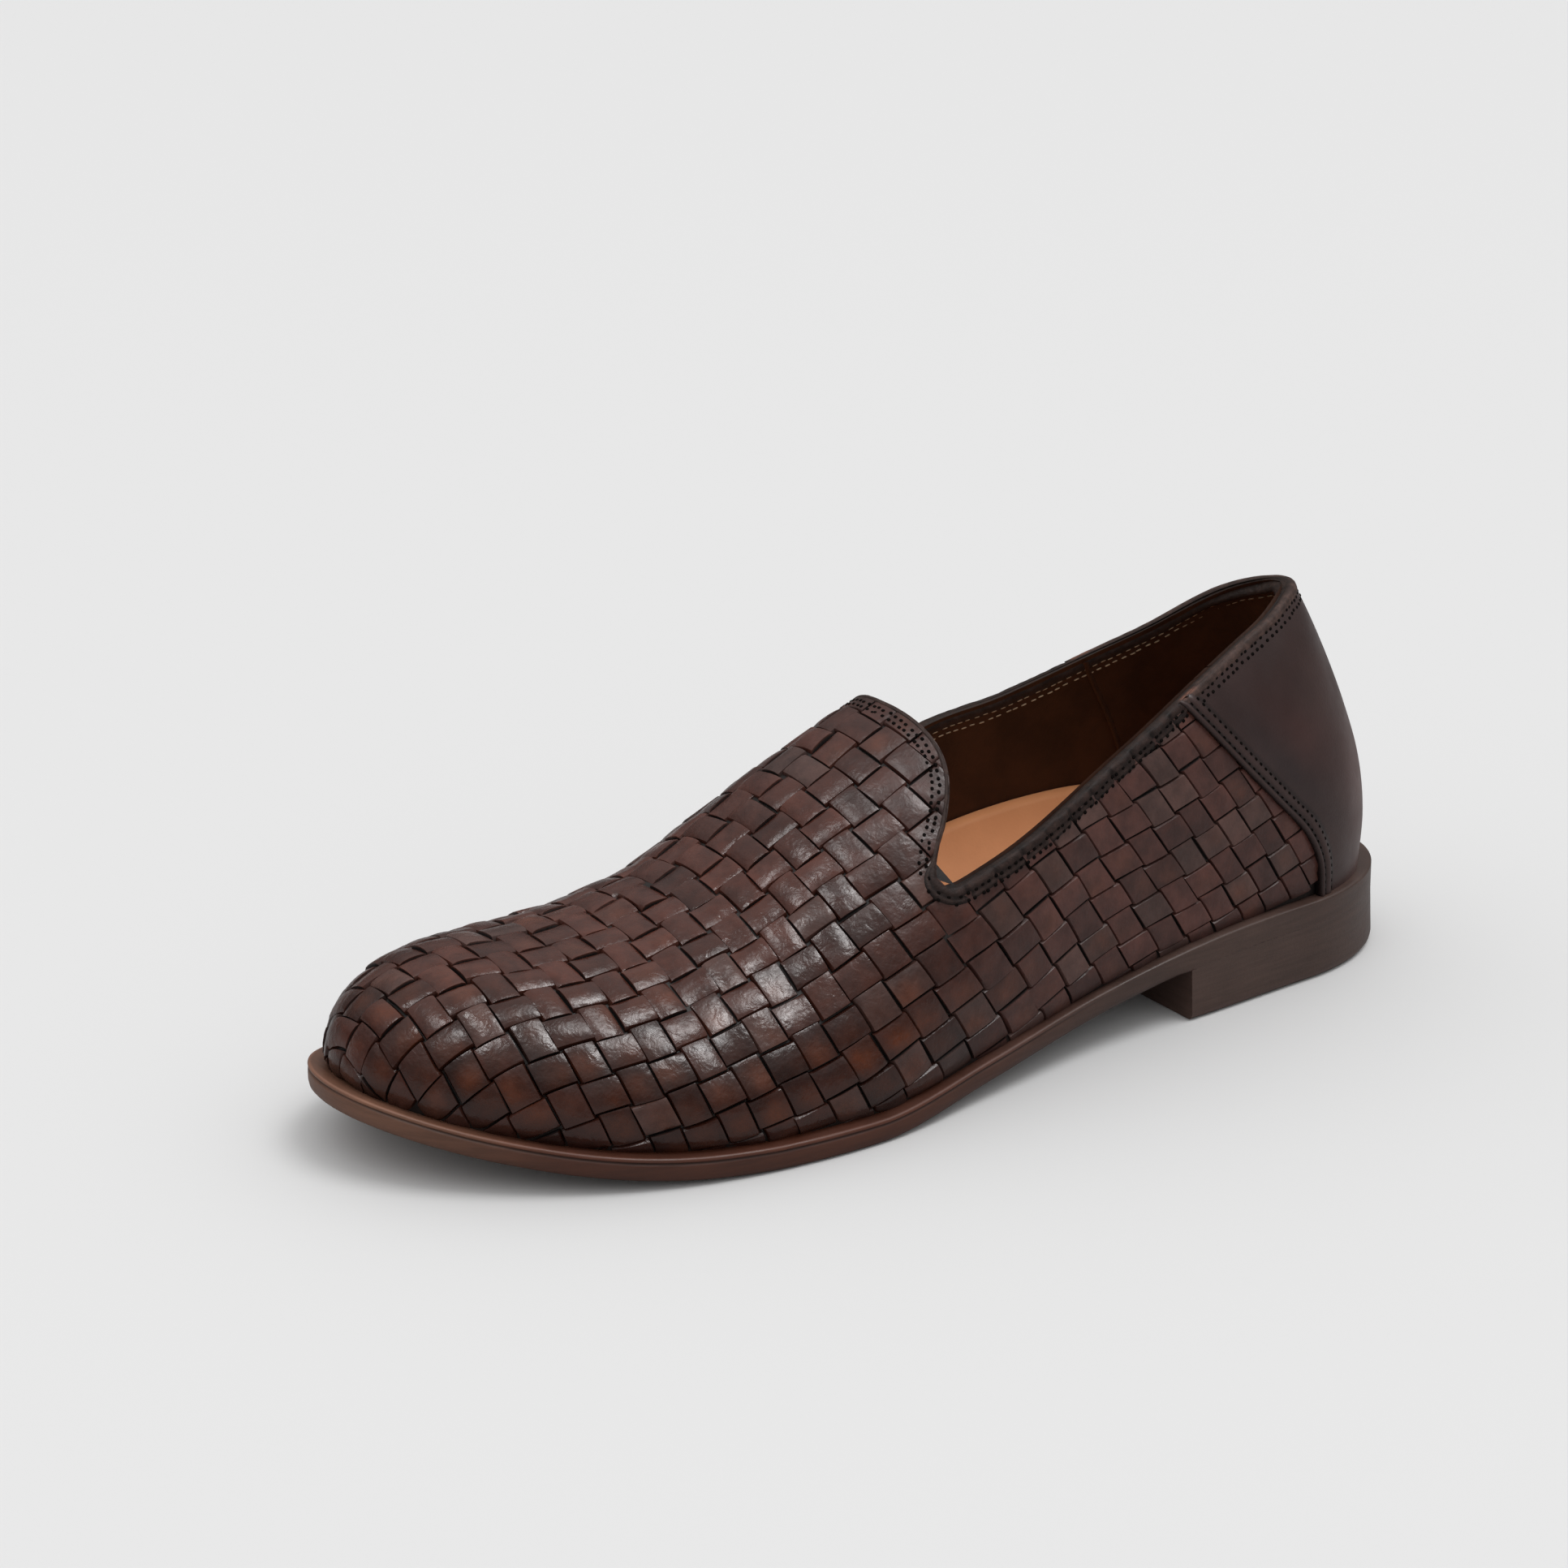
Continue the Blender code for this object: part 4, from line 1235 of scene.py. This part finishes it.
def make_counter():
    """Smooth leather round the heel."""
    shares = np.linspace(0, 1, 45)
    front = zip(COUNTER_FRONT["back"], COUNTER_FRONT["height"])
    lines = [(counter_path(back), grow) for back, grow in front]
    start = lines[-1][0]
    for share in np.sin(np.linspace(0, np.pi / 2, 41)[1:]):
        lines.append((rear_path(start, share, COUNTER), COUNTER))
    grids = []
    for side in (-1, 1):
        grid = []
        for path, grow in lines:
            distance, points = trace(path, rear_top(path, grow), side, grow, below=0.4)
            grid.append(at_reach(distance, points, distance[-1] * shares))
        grids.append(np.array(grid))
    points = np.concatenate([grids[0], grids[1][::-1][1:]])
    distance = trim_to_collar(points, COUNTER)
    faces = in_leather(grid_faces(*points.shape[:2]), distance)
    # Painted shade at the front fold and in the valleys of the folded strip, on both sides of the counter
    strip = np.ones((len(points), 1, 1))
    strip[: len(COUNTER_FRONT["shade"]), 0, 0] = COUNTER_FRONT["shade"]
    strip = strip * strip[::-1]
    station, _, height = np.moveaxis(points, -1, 0)
    behind = seam_path(height) - station
    stain = patch(behind, height, *STAIN_PLACE)
    flush = patch(behind, height, *FLUSH_PLACE)
    # Painted reflection, lighter low along the back
    lightness_pattern = np.exp(-(((station - REFLECTION_STATION) / REFLECTION_SPREAD) ** 2)) * (1 - smooth(*REFLECTION_HEIGHTS, height))
    lightness_pattern = lightness_pattern[..., None]
    tone = np.array(COUNTER_TONE) * (1 - stain * STAIN) * (1 + flush * FLUSH) * (1 + lightness_pattern * BACK_PAINTED_REFLECTION) * strip
    counter = add_mesh("counter_leather", points, faces, SMOOTH, tone)
    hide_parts("counter")


# Rows of stitches: distance back from the seam, height above the last
COUNTER_ROWS = ((1.9, 0.72), (3.9, 1.0))
COUNTER_HOLE_RADIUS = 0.36


def make_counter_stitches():
    """Two rows of dark stitches along the counter's folded strip."""
    hole = (HOLE_LENGTH, COUNTER_HOLE_RADIUS, DARK_THREAD, "smooth_leather", HOLE_FLAT)
    for number, (back, level) in enumerate(COUNTER_ROWS):
        for side, word in ((-1, "inner"), (1, "outer")):
            _, points = trace(counter_path(back), 90.0, side, 0.0, below=-1.5)
            points = points[collar_distance(points)[0] > 2.5]
            line = even(place(points), HOLE_PITCH * MM)
            spots, normals = on_skin(line)
            spots = spots + normals * level * MM
            ahead = unit(np.gradient(line, axis=0))
            capsules(f"counter_stitches_{word}_{number + 1}", spots, ahead, normals, *hole)


make_counter()
make_counter_stitches()


# Insole, sole and heel

INSOLE_SKIRT = np.array([0, 0, 2.5])


def make_insole():
    """Tan footbed, dished at the heel and raised along the arch."""
    shares = (1 - np.cos(np.linspace(0, np.pi, 91))) / 2
    across = np.linspace(0, 1, 41)
    points = []
    for station in INSOLE_BACK + (INSOLE_FRONT - INSOLE_BACK) * shares:
        base = float(seat(station))
        edges = []
        for side, column in ((1, "outer"), (-1, "inner")):
            cup = float(along(INSOLE_CUP, column, station))
            edges.append((float(skin(station, base + INSOLE_THICK + cup, side, INSOLE_SKIN)), cup))
        x = edges[0][0] + (edges[1][0] - edges[0][0]) * across
        blend = smooth(0.3, 0.7, across)
        dish = np.abs(1 - 2 * across) ** CUP_POWER
        dish = dish + (1 - dish) * (1 - smooth(INSOLE_BACK, INSOLE_BACK + HEEL_DISH, station))
        cup = (edges[0][1] * (1 - blend) + edges[1][1] * blend) * dish
        row = np.stack([np.full(len(across), station), x, base + INSOLE_THICK + cup], axis=-1)
        points.append(np.concatenate([[row[0] - INSOLE_SKIRT], row, [row[-1] - INSOLE_SKIRT]]))
    points = np.array(points)
    faces = grid_faces(*points.shape[:2])[:, ::-1]
    insole = add_mesh("footbed", points, faces, INSOLE_LEATHER)
    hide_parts("insole")


# Edges from the floor or tread up: share of the height, how far cut in
SOLE_PROFILE = table(
    "share cut",
    [
        (0.0, 6.0), (0.0, 1.5), (0.04, 0.7), (0.12, 0.2), (0.3, 0.0),
        (0.62, 0.0), (0.72, 0.06), (0.76, 0.45), (0.80, 0.5), (0.83, 0.12),
        (0.88, 0.0), (0.94, 0.1), (0.98, 0.4), (1.0, 0.9), (1.0, 7.0),
    ],
)
HEEL_PROFILE = table(
    "share cut",
    [
        (0.0, 5.0), (0.0, 0.9), (0.03, 0.2), (0.08, -0.25), (0.14, -HEEL_FLARE),
        (0.5, -0.2), (0.9, 0.0), (1.0, 0.0), (1.0, 4.0),
    ],
)
SOLE_TONE = np.array([0.080, 0.024, 0.0115])
SOLE_REAR_TONE = np.array([0.078, 0.044, 0.034])
SOLE_TOE_TONE = np.array([0.190, 0.090, 0.054])
TOE_SHARE = 0.8
# Stations over which the sole turns paler at the toe and loses the rear's colour
TOE_STATIONS = (262, 298)
REAR_STATIONS = (90, 190)
HEEL_TONE = np.array([0.080, 0.046, 0.036])
HEEL_WEAR = 0.3
HEEL_SHARP_ANGLE = 40
HEEL_OVERLAP = 0.15
# Stations between which the sole's lip fades in, painted highlight on the lip and painted shade in the
# groove below it
LIP_STATIONS = (95, 160)
LIP_PAINTED_HIGHLIGHT = 0.45
GROOVE_PAINTED_SHADE = 0.4


def edge_rings(profile, shares, reach, ends, low, high, fade=None):
    """Sections along a sole or heel: up the outer edge and down the inner edge."""
    loops = []
    for share in shares:
        cuts = profile["cut"] if fade is None else fade(profile, reach * share)
        sides = []
        for side in (1, -1):
            station = cuts + (reach - ends * cuts) * share
            height = low(station) + (high(station) - low(station)) * profile["share"]
            x = np.array([sole_outline(s, side, cut) for s, cut in zip(station, cuts)])
            sides.append(np.stack([station, x, height], axis=-1))
        loops.append(np.concatenate([sides[0], sides[1][::-1]]))
    return np.array(loops)


def fade_edge(profile, station):
    """Sole's edge is flat over the heel block, and its lip shows from the arch forwards."""
    rows = profile["share"]
    cuts = profile["cut"].copy()
    cuts[(cuts < 5) & (rows < 0.5)] *= smooth(BREAST - 1, BREAST + 5, station)
    cuts[(rows > 0.7) & (rows < 0.95)] *= smooth(*LIP_STATIONS, station)
    return cuts


def make_outsole():
    """Leather outsole with a lip along the top of its edge."""
    shares = (1 - np.cos(np.linspace(0, np.pi, 161))) / 2
    points = edge_rings(SOLE_PROFILE, shares, LENGTH, 2, underside, seat, fade_edge)
    faces = grid_faces(*points.shape[:2], closed=True)[:, ::-1]
    station = points[..., 0]
    toe = TOE_SHARE * smooth(*TOE_STATIONS, station)[..., None]
    rear = (1 - smooth(*REAR_STATIONS, station))[..., None]
    colour = SOLE_TONE * (1 - rear) + SOLE_REAR_TONE * rear
    colour = colour * (1 - toe) + SOLE_TOE_TONE * toe
    share = np.concatenate([SOLE_PROFILE["share"], SOLE_PROFILE["share"][::-1]])
    groove = (share > 0.75) & (share < 0.82)
    lip = (share > 0.82) & (share < 0.99)
    # Painted highlight on the lip and painted shade in the groove below it
    painted_lip_light = smooth(*LIP_STATIONS, station) * (LIP_PAINTED_HIGHLIGHT * lip - GROOVE_PAINTED_SHADE * groove)
    tone = colour * (1 + painted_lip_light)[..., None]
    outsole = add_mesh("leather_outsole", points, faces, SOLE_EDGE, tone)
    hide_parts("outsole")


def heel_top(station):
    """Top of the heel block, a little inside the sole."""
    return underside(station) + HEEL_OVERLAP


def make_heel():
    """Heel block with a square breast."""
    shares = 1 - np.cos(np.linspace(0, np.pi / 2, 61))
    points = edge_rings(HEEL_PROFILE, shares, BREAST, 1, np.zeros_like, heel_top)
    rows, columns = points.shape[:2]
    faces = grid_faces(rows, columns, closed=True)[:, ::-1].tolist()
    faces.append([(rows - 1) * columns + k for k in range(columns)])
    share = np.concatenate([HEEL_PROFILE["share"], HEEL_PROFILE["share"][::-1]])
    lighter_edge = 1 + HEEL_WEAR * (share < 0.1)
    tone = np.tile(HEEL_TONE * lighter_edge[:, None], (rows, 1, 1))
    heel = add_mesh("heel_block", points, faces, HEEL_EDGE, tone)
    heel.data.set_sharp_from_angle(angle=np.radians(HEEL_SHARP_ANGLE))
    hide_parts("heel")


make_insole()
make_outsole()
make_heel()


# Stage

WALL_LIGHT = 0.46
WALL_GLOSS = 0.12
CEILING_LIGHT = 0.96
CEILING_GLOSS = 0.52
SUN_LIGHT = 0.75
# Heights on the sky between which the walls turn into the ceiling
WALL_TOP = 0.15
CEILING_EDGE = 0.75
# Lights that show only in the gloss: direction they come from, strength
HIGHLIGHTS = ((0.30, 0.30, 0.87, 0.68), (0.05, -0.40, 0.90, 0.65))
FLOOR_HALF = 6.0
FLOOR_LEVEL = -0.0002
# Floor's paleness to the camera, in the gloss and for the light it throws back
FLOOR_SEEN = (0.765, 0.765, 0.765)
FLOOR_GLOSS = (0.40, 0.40, 0.40)
FLOOR_LIGHT = (0.32, 0.32, 0.32)
SUN_ANGLE = 30
HIGHLIGHT_ANGLE = 14


def make_floor():
    """Pale floor. It lights the shoe's lower parts less than it shows."""
    mesh = bpy.data.meshes.new("floor")
    signs = ((-1, -1), (1, -1), (1, 1), (-1, 1))
    corners = [(x * FLOOR_HALF, y * FLOOR_HALF, FLOOR_LEVEL) for x, y in signs]
    mesh.from_pydata(corners, [], [(0, 1, 2, 3)])
    m = new_material("pale_floor")
    shade = m.mix("MIX", m.add("ShaderNodeLightPath", "Is Glossy Ray", {}), FLOOR_LIGHT, FLOOR_GLOSS)
    shade = m.mix("MIX", m.add("ShaderNodeLightPath", "Is Camera Ray", {}), shade, FLOOR_SEEN)
    mesh.materials.append(m.finish(shade, 0.7, specular=0.1))
    floor = link("floor", mesh)


def add_sun(name, source, energy, angle):
    """Sun from a direction, as wide as an angle in degrees."""
    light = bpy.data.lights.new(name, "SUN")
    light.energy = energy
    light.angle = np.radians(angle)
    item = link(name, light)
    item.rotation_euler = (-Vector(source)).to_track_quat("-Z", "Y").to_euler()
    return item


def make_lights():
    """Broad soft light from above: a bright ceiling over dim walls, one wide sun and two highlights."""
    world = bpy.data.worlds.new("studio")
    bpy.context.scene.world = world
    sky = Nodes(world)
    where = sky.add("ShaderNodeTexCoord", "Generated", {})
    height = sky.add("ShaderNodeSeparateXYZ", "Z", {"Vector": where})
    glossy = sky.add("ShaderNodeLightPath", "Is Glossy Ray", {})
    levels = []
    for plain, gloss in ((WALL_LIGHT, WALL_GLOSS), (CEILING_LIGHT, CEILING_GLOSS)):
        inputs = {"Value": glossy, "To Min": plain, "To Max": gloss}
        levels.append(sky.add("ShaderNodeMapRange", "Result", inputs))
    background = world.node_tree.nodes["Background"].inputs
    sky.set(background["Strength"], sky.span(height, WALL_TOP, CEILING_EDGE, *levels))
    sky.set(background["Color"], (1.0, 1.0, 1.0, 1.0))
    add_sun("overhead", (0.2, 0.3, 1.0), SUN_LIGHT, SUN_ANGLE)
    for number, (x, y, z, energy) in enumerate(HIGHLIGHTS):
        light = add_sun(f"highlight_{number + 1}", (x, y, z), energy, HIGHLIGHT_ANGLE)
        light.visible_diffuse = False


# Camera fitted to the photo: degrees round from the outer side and up, metres from the point it looks at
CAMERA_TURN = 34.48
CAMERA_RISE = 21.74
CAMERA_DISTANCE = 1.2848
CAMERA_TARGET = (150.0, 0.0, 30.0)
# Size of the photo, focal length and centre of the view in its pixels
PHOTO_PIXELS = 1932
FOCAL_PIXELS = 6408.2
CENTRE_PIXEL = (1083.0, 1136.2)
SENSOR = 36.0


def make_camera():
    """Camera at the photo's angle: ahead of the shoe on its outer side, looking down."""
    turn, rise = np.radians(CAMERA_TURN), np.radians(CAMERA_RISE)
    target = Vector(place([CAMERA_TARGET])[0])
    ground = np.array([np.cos(turn), -np.sin(turn)]) * np.cos(rise)
    data = bpy.data.cameras.new("camera")
    data.sensor_width = SENSOR
    data.lens = SENSOR * FOCAL_PIXELS / PHOTO_PIXELS
    data.shift_x = 0.5 - CENTRE_PIXEL[0] / PHOTO_PIXELS
    data.shift_y = CENTRE_PIXEL[1] / PHOTO_PIXELS - 0.5
    camera = link("camera", data)
    camera.location = target + Vector((*ground, np.sin(rise))) * CAMERA_DISTANCE
    camera.rotation_euler = (target - camera.location).to_track_quat("-Z", "Y").to_euler()
    bpy.context.scene.camera = camera


make_floor()
make_lights()
make_camera()
bpy.context.scene.view_settings.view_transform = "Standard"
